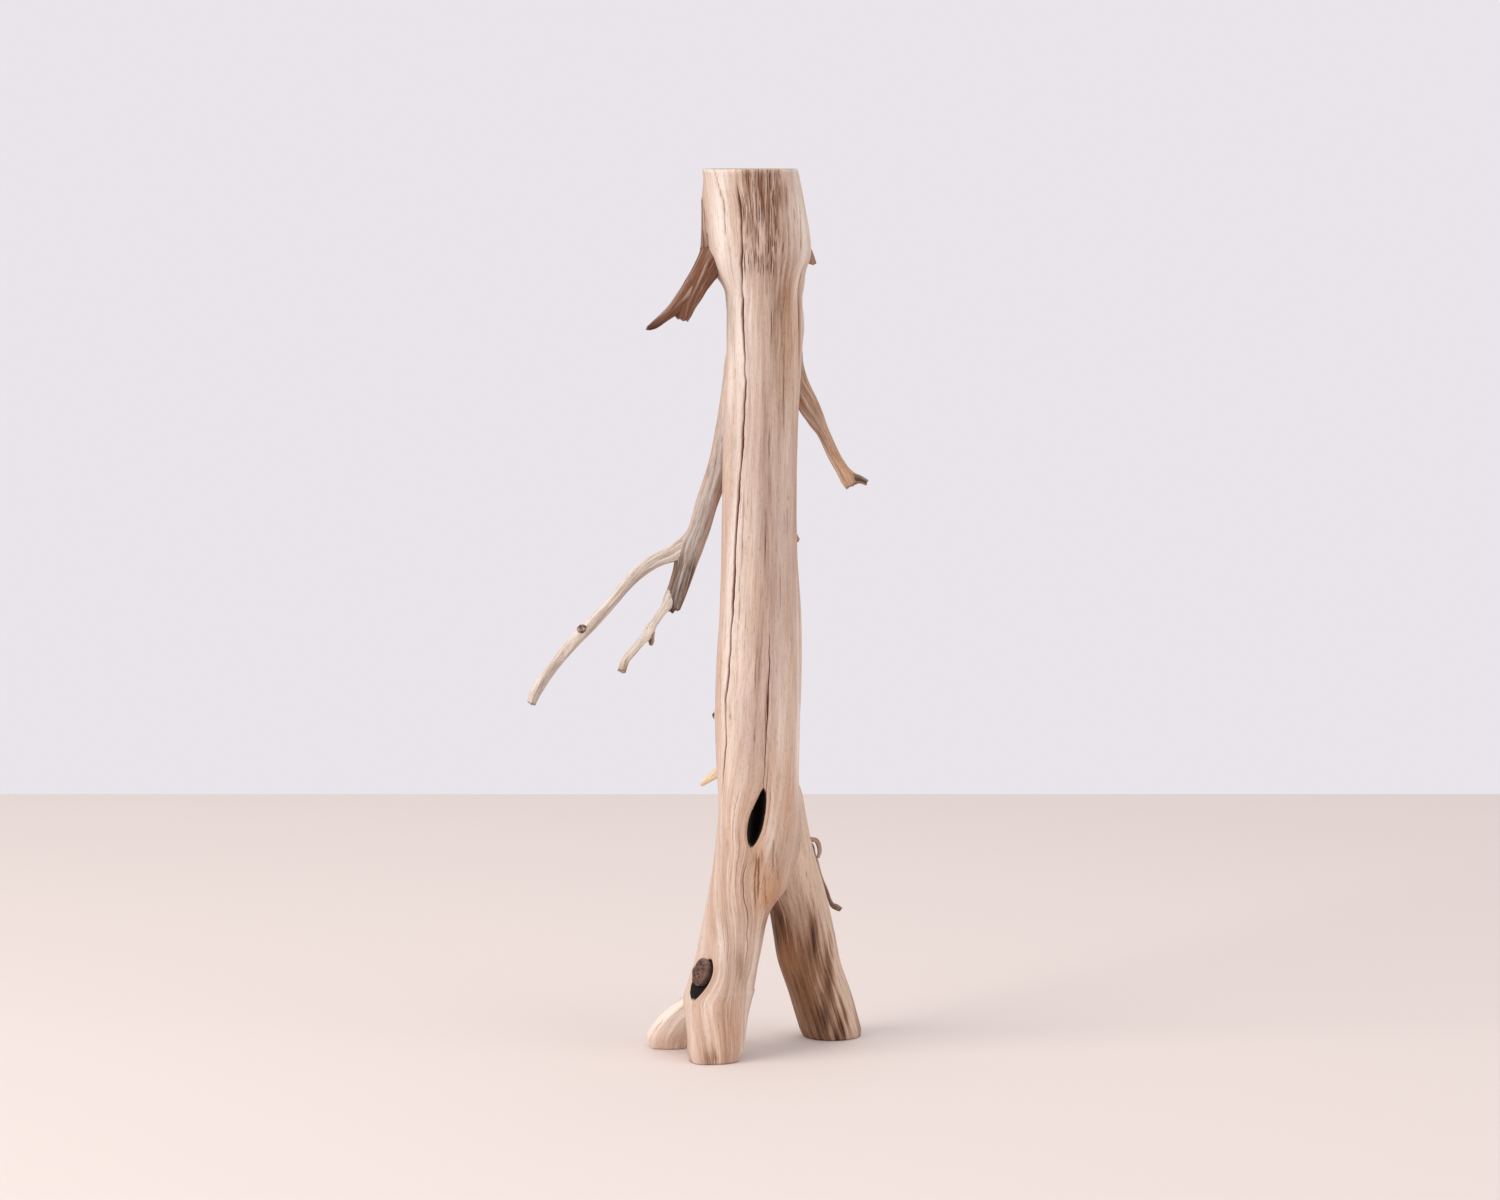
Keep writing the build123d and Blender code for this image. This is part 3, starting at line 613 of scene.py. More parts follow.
def limb_wood(limb, seed):
    """Grid of a bent limb through its stations (x, y, z, radius), counted from its seat."""
    stations = np.array(limb.stations, float)
    stations[:, :3] += limb.seat
    steps = np.linalg.norm(np.diff(stations[:, :3], axis=0), axis=1)
    reached = np.concatenate([[0], np.cumsum(steps)])
    places = np.linspace(0.0, reached[-1], max(8, int(reached[-1] / limb.spacing)))
    path = smooth(np.column_stack([reached, stations]), places)
    centre, radius = path[:, :3], path[:, 3]
    along = np.gradient(centre, axis=0)
    along /= np.linalg.norm(along, axis=1)[:, None]
    first, second = limb_frames(along)
    angle = 2 * np.pi * np.arange(limb.columns) / limb.columns
    outward = first * np.cos(angle)[None, :, None] + second * np.sin(angle)[None, :, None]
    size = radius.mean()
    twist = angle[None] + 0.012 * places[:, None]
    x, y = np.cos(twist), np.sin(twist)
    z = np.broadcast_to(places[:, None], x.shape)
    broad = lumps(0.9 * x, 0.9 * y, z / (6 * size), seed)
    strand = lumps(2.3 * x, 2.3 * y, z / (5 * size), seed + 1)
    swollen = radius[:, None] * (1 + limb.roughness * (broad + 0.55 * strand))
    wood = Wood(centre[:, None] + outward * swollen[..., None], outward,
                np.stack([size * x, size * y, z], axis=-1))
    wood.columns = np.degrees(angle)
    wood.along = along
    wood.places = places
    wood.size = size
    wood.chain = list(zip(centre[::2], radius[::2]))
    if limb.ragged:
        break_off(wood, angle, limb.ragged, seed)
    return wood


# Stations count from the seat; ragged is the length of the broken end.
Limb = namedtuple("Limb", "slot seat stations columns spacing roughness ragged")
STUB_SEAT = (-17.7, 5.2, 342.0)
LIMBS = {
    "left_arm": Limb("limb_wood", (-7.9, 12.4, 296.0), [
        (2.5, -3.0, 6.0, 4.2), (-0.5, 0.8, 1.5, 4.6), (-2.3, 3.8, -6.5, 4.4), (-4.0, 5.2, -15.3, 4.2),
        (-7.9, 2.0, -39.3, 4.1), (-14.3, -4.6, -59.6, 4.0), (-17.3, -8.6, -70.4, 4.2),
        (-20.2, -11.6, -77.9, 4.6), (-22.4, -12.6, -85.4, 4.5), (-25.0, -12.8, -93.0, 4.3),
        (-26.7, -12.5, -98.8, 3.4), (-27.8, -11.9, -105.6, 2.2)], 88, 0.7, 0.13, 1.4),
    "right_arm": Limb("limb_wood", (14.75, 12.6, 300.0), [
        (-2.5, -3.0, 5.0, 3.6), (0.0, 0.6, 0.5, 4.0), (1.0, 2.6, -4.0, 4.0), (3.9, 3.7, -12.4, 4.0),
        (8.4, 0.4, -22.5, 4.3), (10.9, -2.0, -27.5, 3.8), (13.6, -4.2, -32.5, 2.8),
        (18.2, -8.2, -42.6, 2.5), (21.2, -10.2, -47.6, 2.6), (24.0, -11.2, -52.2, 2.9),
        (25.7, -12.2, -55.5, 2.4)], 80, 0.6, 0.2, 0.7),
    "shoulder_stub": Limb("limb_wood", STUB_SEAT, [
        (-2.2, 0.6, 27.0, 1.2), (-1.0, 0.4, 18.0, 3.2), (0.4, 0.2, 9.0, 5.6), (0.4, -0.3, 2.0, 6.8),
        (-4.3, -4.6, -4.1, 5.1), (-6.8, -8.6, -9.0, 4.7), (-9.3, -11.6, -14.0, 4.3),
        (-11.9, -13.6, -19.0, 3.6), (-13.9, -15.6, -25.7, 2.6)], 104, 0.55, 0.17, 1.3),
    "left_arm_long_twig": Limb("limb_wood", (-32.4, -0.1, 218.3), [
        (2.2, 0.5, 0.2, 3.2), (-0.8, -0.2, -0.3, 3.4), (-5.1, -2.2, -2.9, 3.2), (-12.8, -4.2, -6.6, 3.0),
        (-20.0, -6.2, -11.6, 2.8), (-28.5, -9.2, -21.1, 2.5), (-38.3, -12.2, -31.1, 2.5),
        (-48.0, -15.2, -41.0, 2.4), (-56.0, -17.2, -51.1, 2.4), (-62.0, -19.2, -60.3, 2.4),
        (-63.9, -20.2, -65.0, 2.0)], 64, 0.6, 0.2, 0.6),
    "left_arm_short_twig": Limb("limb_wood", (-36.9, -1.2, 197.5), [
        (1.6, 0.5, 1.0, 2.2), (-0.3, -0.1, -0.3, 2.2), (-2.2, -1.1, -4.0, 1.9), (-7.3, -3.1, -11.5, 1.7),
        (-11.1, -5.1, -16.9, 1.9), (-14.9, -7.1, -21.4, 1.8), (-19.2, -9.1, -26.3, 1.9),
        (-21.0, -11.1, -31.2, 1.9)], 56, 0.5, 0.13, 0.4),
    "right_arm_hook": Limb("limb_wood", (41.2, 1.6, 248.0), [
        (-1.0, 0.0, 0.0, 1.7), (0.4, 0.0, 0.0, 1.8), (2.7, 0.8, -0.3, 1.6), (6.0, 1.6, -1.9, 1.3)],
        44, 0.35, 0.12, 0.4),
    "right_shoulder_spur": Limb("knot_wood", (21.0, 11.3, 343.5), [
        (-1.2, -0.8, 1.2, 2.4), (0.4, 0.3, -0.4, 2.4), (2.0, 1.7, -2.2, 1.9), (3.7, 3.0, -4.2, 1.0)],
        44, 0.35, 0.14, 0.6),
    "right_side_spur": Limb("knot_wood", (15.45, 6.3, 222.5), [
        (-1.0, -0.5, 0.8, 1.8), (0.5, 0.3, -0.4, 1.6), (2.4, 1.0, -1.9, 0.9)], 40, 0.3, 0.12, 0.5),
    "left_side_bud": Limb("twig_wood", (-17.8, 1.25, 145.7), [
        (0.8, 0.0, 0.3, 1.2), (-0.3, 0.0, -0.1, 1.1), (-1.3, 0.0, -0.5, 0.6)], 36, 0.2, 0.08, 0.0),
    "back_twig": Limb("twig_wood", (-10.2, 11.6, 122.0), [
        (1.2, -2.0, 0.8, 2.4), (-0.5, 1.0, 0.0, 2.4), (-4.4, 10.4, -2.4, 2.1), (-8.0, 18.4, -6.3, 1.9),
        (-11.6, 26.4, -10.1, 1.5), (-14.3, 32.4, -13.3, 0.6)], 52, 0.6, 0.09, 0.6),
    "rear_leg_twig": Limb("twig_wood", (22.8, 15.0, 87.0), [
        (-1.0, -0.8, 1.0, 1.5), (0.6, 0.4, -0.6, 1.5), (1.6, 2.0, -4.0, 1.2), (3.1, 3.9, -7.5, 0.8),
        (5.2, 4.4, -14.6, 0.65), (8.1, 3.9, -22.1, 0.75), (9.2, 3.3, -25.4, 0.9),
        (10.3, 2.9, -27.3, 1.2), (12.1, 2.4, -28.2, 1.4), (14.0, 1.9, -29.2, 1.0)], 44, 0.35, 0.14, 0.4),
    "bark_curl": Limb("twig_wood", (23.7, 12.4, 89.5), [
        (-0.8, -0.3, 0.5, 0.9), (0.7, 0.3, 0.0, 1.0), (2.0, 0.8, -0.4, 1.0), (3.1, 1.0, -2.4, 1.0),
        (3.6, 0.8, -5.6, 0.9), (2.9, 0.4, -8.2, 0.6)], 40, 0.3, 0.12, 0.4),
    "prong": Limb("limb_wood", STUB_SEAT, [
        (-3.0, -5.0, -4.0, 2.0), (-8.8, -10.6, -10.3, 2.6), (-12.4, -13.6, -15.0, 2.7),
        (-16.6, -15.6, -19.6, 2.5), (-21.6, -17.6, -24.4, 2.2), (-25.6, -19.0, -27.5, 1.7),
        (-28.7, -19.6, -29.3, 0.9)], 64, 0.5, 0.14, 1.6),
    "dead_knot": Limb("knot_wood", (-24.9, -24.8, 37.6), [
        (6.0, 5.3, -1.0, 2.6), (3.0, 2.6, 0.0, 3.4), (0.6, 0.6, 0.6, 3.5), (-0.6, -0.5, 0.8, 3.0)],
        64, 0.3, 0.12, 0.7),
    "long_twig_knob": Limb("limb_wood", (-74.8, -14.9, 184.8), [
        (0.0, 1.6, -0.6, 1.1), (0.1, 0.0, 0.2, 1.35), (0.3, -1.6, 0.7, 1.3), (0.4, -2.4, 0.9, 1.0)],
        40, 0.2, 0.1, 0.4),
    "short_twig_spur": Limb("limb_wood", (-46.1, -5.3, 183.3), [
        (-0.3, 0.0, 1.6, 1.2), (0.0, 0.0, 0.0, 1.4), (0.5, 0.0, -2.8, 1.3), (0.9, 0.0, -5.0, 1.1),
        (0.5, 0.0, -6.4, 0.7)], 40, 0.25, 0.14, 0.5),
}
STAINED_ROOTS = ["left_arm", "right_arm", "shoulder_stub"]
ON_STEM = STAINED_ROOTS + ["right_shoulder_spur", "right_side_spur", "left_side_bud", "back_twig"]
ON_REAR_LEG = ["rear_leg_twig", "bark_curl"]
CARRIERS = {"left_arm_long_twig": "left_arm", "left_arm_short_twig": "left_arm",
            "right_arm_hook": "right_arm", "prong": "shoulder_stub",
            "long_twig_knob": "left_arm_long_twig", "short_twig_spur": "left_arm_short_twig"}
KNOT_SIDE = np.array([0.669, -0.743, 0.0])
KNOT_LEAN = math.radians(26)
KNOT_STRETCH = 0.95


def draw_out_knot(knot):
    """Draw the dead knot out along its leaning hollow."""
    along = math.sin(KNOT_LEAN) * KNOT_SIDE + np.array([0, 0, math.cos(KNOT_LEAN)])
    reached = (knot.points - LIMBS["dead_knot"].seat) @ along
    knot.points = knot.points + KNOT_STRETCH * reached[..., None] * along


def blend_limbs(stem, limbs):
    """Let every limb flow into the growth that carries it."""
    for name in ON_STEM:
        limb = limbs[name]
        swell(stem, tube_gap(stem.points, limb.chain), 2.0 * limb.size, sink=0.5, deepest=1.2)
        swell(limb, level_gap(limb.points, STEM), 2.5 * limb.size)
    for name in ON_REAR_LEG:
        swell(limbs[name], level_gap(limbs[name].points, REAR_LEG), 1.5)
    for name, carrier_name in CARRIERS.items():
        limb, carrier = limbs[name], limbs[carrier_name]
        reach = min(6.0, 2.4 * limb.size)
        swell(limb, tube_gap(limb.points, carrier.chain), reach)
        swell(carrier, tube_gap(carrier.points, limb.chain), reach, sink=0.4, deepest=0.8)


# -------- stains

# Soft patches for each stain, as (place, reach across, reach along, strength); some are painted highlights
# and painted shade, noted below.
STEM_PATCHES = {
    # The first five pale patches make the strip down the front's left: bleached wood, and painted light from
    # the left.
    "pale": [((-18, -10, 362), 6, 26, 0.9), ((-12, -9, 312), 7, 40, 1), ((-12, -10, 235), 6, 60, 0.3),
             ((-13, -11, 165), 6.5, 50, 0.25), ((-17, -12, 92), 7, 40, 0.2),
             # The pale patch at (-16, -28, 56) is a painted highlight beside the knot hollow.
             # The pale patch at (-3, 0, 380) is a painted highlight along the sawn top's rim.
             ((-16, -28, 56), 3.5, 10, 1), ((-3, 0, 380), 30, 1.1, 0.8), ((15, -12, 362), 6, 22, 0.4),
             # The pale patch at (-37, -3, 10) is painted light on the toe, which lies in the stem's shadow.
             ((17, -3, 120), 4, 40, 0.5), ((-37, -3, 10), 18, 20, 1)],
    "dusk": [((3, -17, 325), 7, 22, 0.5), ((3, -17, 250), 9, 46, 0.75), ((-3, -17, 140), 5, 26, 0.85),
             ((-22, 4, 340), 8, 24, 0.8), ((10, -14, 190), 7, 26, 0.5), ((17, -8, 92), 5, 22, 0.3)],
    "warm": [((17, -7, 355), 5, 24, 0.15), ((14, -12, 150), 7, 50, 0.25), ((-12, -14, 150), 7, 50, 0.15),
             # The warm patch at (10, -20, 72) is a painted orange-brown highlight beside the lip.
             ((0, -20, 92), 16, 40, 0.16), ((15, -8, 310), 5, 26, 0.5), ((10, -20, 72), 6, 10, 0.55),
             ((2, -22, 80), 4, 14, 0.8), ((-12, -34, 14), 9, 16, 0.5), ((13, -16, 118), 6, 20, 0.4),
             ((-36, -6, 2), 16, 8, 0.6)],
    "dark": [((2, -17, 250), 9, 60, 0.16), ((0, -17, 165), 10, 40, 0.12), ((-6, -26, 90), 12, 34, 0.2),
             ((-10, -34, 14), 8, 20, 0.12), ((2, -18, 374), 11, 20, 0.62), ((7, -18, 346), 8, 24, 0.3),
             ((12, -12, 322), 5, 22, 0.3), ((11, -12, 285), 3, 20, 0.25), ((1, -22, 80), 2.6, 10, 0.4),
             # The dark patches at (10, -20, 66) and (5, -12, 56) are painted shade under the lip and in the
             # fork between the legs.
             ((10, -20, 66), 5, 6, 0.35), ((-7, -27, 40), 3, 10, 0.35), ((-19, -34, 2), 3, 5, 0.7),
             ((5, -12, 56), 8, 6, 0.5)],
}
LEG_PATCHES = {
    "pale": [((33, 4, 62), 8, 24, 1), ((40, 14, 26), 6, 24, 0.9), ((26, -4, 80), 8, 24, 1)],
    "dusk": [((28, 0, 50), 5, 26, 0.6)],
    "warm": [((13, 5, 38), 5, 14, 0.8), ((22, 10, 34), 5, 26, 0.4)],
    # The dark patch at (8, 4, 50) is painted shade on the leg's upper left, under the fork.
    "dark": [((8, 4, 50), 7, 16, 0.9), ((18, 8, 40), 5, 40, 0.4), ((27, 10, 30), 8, 40, 0.35),
             ((30, 10, 16), 2.4, 26, 1), ((24, 4, 50), 2.4, 20, 0.9), ((37, 14, 6), 3, 12, 0.9)],
}
# Names of limbs, then their stains and painted shade (mark, start, end, first, last), from and to shares of
# their length.
TINTS = [
    (["left_arm"], [("dusk", 0.0, 0.7, 0.5, 1.0), ("dusk", 0.74, 0.85, 0.0, -0.7),
                    ("dark", 0.0, 0.6, 0.12, 0.0), ("dark", 0.74, 0.83, 0.0, 0.75)]),
    (["left_arm_long_twig"], [("pale", 0.0, 1.0, 0.5, 0.7), ("dark", 0.0, 0.3, 0.5, 0.25)]),
    (["left_arm_short_twig"], [("pale", 0.1, 0.9, 0.8, 0.8), ("dark", 0.0, 0.4, 0.35, 0.0),
                               ("dark", 0.85, 1.0, 0.0, 0.8), ("warm", 0.85, 1.0, 0.0, 0.6)]),
    (["right_arm"], [("dusk", 0.0, 0.35, 1.0, 0.0), ("dark", 0.0, 0.4, 0.9, 0.0),
                     ("warm", 0.15, 1.0, 0.5, 0.8), ("dark", 0.5, 1.0, 0.12, 0.12)]),
    (["right_arm_hook", "long_twig_knob", "short_twig_spur"],
     [("dark", 0.0, 1.0, 0.9, 1.0), ("warm", 0.0, 1.0, 0.15, 0.15)]),
    (["shoulder_stub", "prong"], [("dusk", 0.0, 0.5, 0.5, 0.0), ("warm", 0.0, 1.0, 0.2, 0.2),
                                  ("dark", 0.1, 0.5, 0.8, 1.0), ("crack", 0.2, 0.9, 0.2, 0.5)]),
    # The prong's hollow end gets painted shade.
    (["prong"], [("pit", 0.75, 0.95, 0.0, 0.6)]),
    (["back_twig"], [("pale", 0.0, 1.0, 1.0, 1.0)]),
    (["left_side_bud"], [("dark", 0.0, 1.0, 0.9, 0.9)]),
    (["rear_leg_twig"], [("dusk", 0.0, 1.0, 0.8, 0.5), ("dark", 0.0, 1.0, 0.6, 0.4)]),
    (["right_shoulder_spur", "right_side_spur"], [("warm", 0.0, 1.0, 0.4, 0.4)]),
    (["bark_curl"], [("dusk", 0.0, 1.0, 0.9, 0.6), ("dark", 0.0, 1.0, 0.4, 0.2)]),
]


def tint(wood, mark, start, end, first, last):
    """Tint a limb with one mark, a stain or painted shade, from one strength to another; outside, the mark
    holds on unless it has faded to 0.
    """
    share = wood.places / wood.places[-1]
    strength = np.interp(share, [start, end], [first, last])
    faded = (share < start) & (first == 0) | (share > end) & (last == 0)
    strength = np.where(faded, 0, strength)
    setattr(wood, mark, np.clip(getattr(wood, mark) + strength[:, None], 0, 1))


def paint_legs_stains_and_light(stem, leg, toe):
    """Stain stem, toe and rear leg, whose top pales into the stem, and paint highlights and shade on them."""
    stem.paint_all_stains_and_light(STEM_PATCHES)
    toe.paint_all_stains_and_light(STEM_PATCHES)
    leg.paint_all_stains_and_light(LEG_PATCHES)
    height = leg.points[..., 2]
    leg.pale = np.clip(leg.pale + np.clip((height - 62) / 30, 0, 1), 0, 1)
    leg.dark = leg.dark * np.clip((92 - height) / 40, 0, 1)
    for name in STAINED_ROOTS:
        stem.stain("dusk", LIMBS[name].seat, across=9.0, along=18.0, strength=0.8)
        stem.stain("dark", LIMBS[name].seat, across=7.0, along=13.0, strength=0.3)


def paint_limbs_stains_and_shade(limbs):
    """Stain every limb along its length, paint shade into the prong's hollow end, and warm the sides of the
    left arm.
    """
    for names, tints in TINTS:
        for name in names:
            for values in tints:
                tint(limbs[name], *values)
    arm = limbs["left_arm"]
    arm.warm += 0.5 * np.abs(arm.outward[..., 0]) ** 3


# -------- nodes

def link(tree, kind, inputs=None, **settings):
    """Add a node, set its options and fill its inputs from values or other nodes' sockets."""
    node = tree.nodes.new(kind)
    for name, value in settings.items():
        setattr(node, name, value)
    for key, value in (inputs or {}).items():
        socket = node.inputs[key]
        if isinstance(value, bpy.types.NodeSocket):
            tree.links.new(value, socket)
        else:
            socket.default_value = value
    return node


def math_node(tree, operation, a, b):
    return link(tree, "ShaderNodeMath", {0: a, 1: b}, operation=operation).outputs[0]


def plus(tree, a, b):
    return math_node(tree, "ADD", a, b)


def minus(tree, a, b):
    return math_node(tree, "SUBTRACT", a, b)


def times(tree, a, b):
    return math_node(tree, "MULTIPLY", a, b)


def vector_math(tree, operation, a, b):
    return link(tree, "ShaderNodeVectorMath", {0: a, 1: b}, operation=operation).outputs[0]


def remap(tree, value, low, high, to_low=0.0, to_high=1.0):
    node = link(tree, "ShaderNodeMapRange", {"Value": value, "From Min": low, "From Max": high,
                                             "To Min": to_low, "To Max": to_high})
    return node.outputs[0]


def ramp(tree, value, stops):
    """Colour ramp through (position, colour) stops."""
    node = link(tree, "ShaderNodeValToRGB", {0: value})
    while len(node.color_ramp.elements) < len(stops):
        node.color_ramp.elements.new(0.5)
    for element, (position, colour) in zip(node.color_ramp.elements, stops):
        element.position = position
        element.color = (*colour, 1)
    return node.outputs[0]


def mixed(tree, share, a, b, blend="MIX"):
    node = link(tree, "ShaderNodeMix", {0: share, 6: a, 7: b}, data_type="RGBA", blend_type=blend)
    return node.outputs[2]


def shaded(tree, share, colour, shade):
    """A colour multiplied by a shade, by a share."""
    return mixed(tree, share, colour, mixed(tree, 1.0, colour, shade, "MULTIPLY"))


def grain_noise(tree, grain, across, along, detail, roughness, shift):
    """Noise drawn out along the grain; across and along are the sizes of its marks."""
    place = link(tree, "ShaderNodeMapping", {
        "Vector": grain, "Location": shift, "Scale": (1 / across, 1 / across, 1 / along)})
    noise = link(tree, "ShaderNodeTexNoise", {
        "Vector": place.outputs[0], "Scale": 1.0, "Detail": detail, "Roughness": roughness})
    return noise.outputs["Fac"]


def tone(red, green, blue):
    """A colour written as it looks (0 to 255) turned into light values."""
    shares = (red / 255, green / 255, blue / 255)
    return tuple(c / 12.92 if c <= 0.04045 else ((c + 0.055) / 1.055) ** 2.4 for c in shares)


# -------- weathered wood

WARM = tone(196, 142, 98)
# Brown of the open checks, which also serves as painted shade in grooves and furrows.
CRACK_BROWN_AND_SHADE = tone(128, 70, 46)
# Near-black painted shade for the inside of the hollows and the prong's hollow end.
PAINTED_PIT_SHADE = tone(26, 16, 11)
FIBRE_SHADES = [(0.3, (0.6, 0.54, 0.48)), (0.5, (0.96, 0.95, 0.94)), (0.72, (1.08, 1.08, 1.08))]
PORE_SHADES = [(0.3, (0.66, 0.6, 0.55)), (0.42, (1, 1, 1))]


def painted_marks(tree):
    """Sockets of the marks and stains that the grid carries, painted light and shade among them, by name."""
    marks = link(tree, "ShaderNodeAttribute", attribute_name="marks").outputs["Color"]
    stains = link(tree, "ShaderNodeAttribute", attribute_name="stains").outputs
    painted = dict(zip(MARKS, link(tree, "ShaderNodeSeparateColor", {0: marks}).outputs))
    painted.update(zip(STAINS_AND_LIGHT, link(tree, "ShaderNodeSeparateColor", {0: stains["Color"]}).outputs))
    painted["dark"] = stains["Alpha"]
    return painted


def wavering_grain(tree):
    """Place in the grain, with a slow waver so that no streak runs dead straight."""
    grain = link(tree, "ShaderNodeAttribute", attribute_name="grain").outputs["Vector"]
    slow = link(tree, "ShaderNodeMapping", {"Vector": grain, "Scale": (0.08, 0.08, 0.03)}).outputs[0]
    noise = link(tree, "ShaderNodeTexNoise", {"Vector": slow, "Scale": 1.0, "Detail": 2.0})
    waver = vector_math(tree, "SUBTRACT", noise.outputs["Color"], (0.5, 0.5, 0.5))
    return vector_math(tree, "ADD", grain, vector_math(tree, "MULTIPLY", waver, (3.0, 3.0, 0.0)))


def streaked(tree, noise, painted, tones, contrast):
    """Streaks and bands from the light tone to the deep one."""
    rough = remap(tree, painted["dark"], 0.0, 0.5, 0.4 * contrast, 0.55)
    mix = plus(tree, times(tree, noise["band"], 0.6), times(tree, minus(tree, noise["streak"], 0.5), rough))
    mix = plus(tree, mix, 0.2)
    mix = minus(tree, mix, times(tree, painted["pale"], 0.2))
    mix = plus(tree, mix, times(tree, painted["dark"], 0.36))
    return ramp(tree, mix, list(zip((0.34, 0.54, 0.8), tones)))


def weathered(tree, colour, noise, painted, dusk, grey):
    """Pinkish grey weathering in patches and where it is painted, and warm stains, with the lip's painted
    highlight among them.
    """
    patch = remap(tree, noise["patch"], 0.45, 0.72, grey, min(1, grey + 0.55))
    share = math_node(tree, "MAXIMUM", patch, times(tree, painted["dusk"], 0.8))
    share = times(tree, share, remap(tree, painted["dark"], 0.2, 0.9, 1.0, 0.2))
    share = times(tree, share, remap(tree, noise["streak"], 0.35, 0.65, 1.0, 0.6))
    colour = mixed(tree, share, colour, (*dusk, 1))
    warm = times(tree, painted["warm"], remap(tree, noise["streak"], 0.3, 0.7, 0.5, 1.0))
    return mixed(tree, warm, colour, (*WARM, 1))


def fibrous(tree, colour, noise, painted, contrast):
    """Fine fibres and dry specks, strongest where the wood is dark."""
    fibre_share = remap(tree, painted["dark"], 0.0, 0.5, min(1.0, 0.75 * contrast), 1.0)
    colour = shaded(tree, fibre_share, colour, ramp(tree, noise["fibre"], FIBRE_SHADES))
    pore_share = remap(tree, painted["dark"], 0.0, 0.5, 0.6, 1.0)
    return shaded(tree, pore_share, colour, ramp(tree, noise["speck"], PORE_SHADES))


def end_grain(tree, grain, band, middle):
    """Growth rings on a sawn or broken end."""
    flat = vector_math(tree, "MULTIPLY", grain, (1.0, 1.0, 0.0))
    radius = link(tree, "ShaderNodeVectorMath", {0: flat}, operation="LENGTH").outputs["Value"]
    wobble = plus(tree, radius, times(tree, band, 3.0))
    rings = math_node(tree, "SINE", times(tree, wobble, 5.2), 0.0)
    return ramp(tree, remap(tree, rings, -1, 1), [(0.1, tuple(0.74 * c for c in middle)), (0.9, middle)])


def wood_shader(tree, colour, noise):
    """Dry surface with the fibres' fine relief."""
    relief = plus(tree, times(tree, noise["fibre"], 0.6), times(tree, noise["streak"], 0.5))
    relief = plus(tree, relief, times(tree, noise["speck"], 0.25))
    bump = link(tree, "ShaderNodeBump", {"Height": relief, "Strength": 0.55, "Distance": 0.0005})
    shader = link(tree, "ShaderNodeBsdfPrincipled", {
        "Base Color": colour, "Roughness": remap(tree, noise["streak"], 0.3, 0.7, 0.72, 0.9),
        "Normal": bump.outputs[0], "Specular IOR Level": 0.25})
    output = link(tree, "ShaderNodeOutputMaterial", {"Surface": shader.outputs[0]})
    output.is_active_output = True


def weathered_wood(name, tones, dusk, shift, grey=0.0, contrast=1.0, streak_width=1.5):
    """Barkless wood, dried and bleached: streaks along the grain, greyed and stained in patches."""
    material = bpy.data.materials.new(name)
    material.use_nodes = True
    tree = material.node_tree
    tree.nodes.clear()
    painted = painted_marks(tree)
    grain = wavering_grain(tree)
    # width, length, detail and roughness of each kind of mark
    kinds = {"band": (9.0, 150.0, 3, 0.5), "streak": (streak_width, 26 * streak_width, 4, 0.62),
             "fibre": (0.6, 11.0, 3, 0.65), "speck": (0.5, 2.6, 2, 0.6), "patch": (13.0, 90.0, 4, 0.6)}
    noise = {kind: grain_noise(tree, grain, *values, shift) for kind, values in kinds.items()}
    painted["dark"] = times(tree, painted["dark"], remap(tree, noise["streak"], 0.34, 0.62, 0.45, 1.25))
    colour = streaked(tree, noise, painted, tones, contrast)
    colour = weathered(tree, colour, noise, painted, dusk, grey)
    colour = fibrous(tree, colour, noise, painted, contrast)
    colour = mixed(tree, painted["end"], colour, end_grain(tree, grain, noise["band"], tones[1]))
    # Crack brown with painted shade in the grooves.
    colour = mixed(tree, painted["crack"], colour, (*CRACK_BROWN_AND_SHADE, 1))
    # Painted shade inside the hollows.
    colour = mixed(tree, painted["pit"], colour, (*PAINTED_PIT_SHADE, 1))
    wood_shader(tree, colour, noise)
    return material


# Tones run from light to deep.
STEM_TONES = (tone(243, 228, 216), tone(207, 178, 160), tone(138, 100, 76))
LEG_TONES = (tone(216, 188, 168), tone(144, 108, 84), tone(62, 40, 28))
LIMB_TONES = (tone(234, 220, 206), tone(188, 168, 156), tone(66, 48, 40))
TWIG_TONES = (tone(240, 214, 178), tone(160, 128, 108), tone(74, 52, 42))
KNOT_TONES = (tone(182, 152, 136), tone(134, 104, 90), tone(58, 40, 32))
FINISH = {
    "trunk_wood": weathered_wood("weathered_stem", STEM_TONES, tone(186, 160, 152), (3.1, 7.7, 1.3),
                                 contrast=0.55),
    "leg_wood": weathered_wood("weathered_leg", LEG_TONES, tone(146, 120, 104), (23.4, 2.2, 8.1),
                               contrast=0.8, streak_width=1.8),
    "limb_wood": weathered_wood("silvered_limb", LIMB_TONES, tone(182, 168, 164), (41.3, 12.9, 4.4),
                                grey=0.2, contrast=2.0, streak_width=1.2),
    "twig_wood": weathered_wood("dry_twig", TWIG_TONES, tone(176, 146, 136), (61.7, 31.0, 9.2),
                                contrast=1.5, streak_width=0.9),
    "knot_wood": weathered_wood("dry_knot", KNOT_TONES, tone(118, 100, 96), (81.9, 17.4, 6.6),
                                grey=0.2, streak_width=0.9),
}


# -------- relief

STRAND_HEIGHT = 0.22
FIBRE_HEIGHT = 0.08


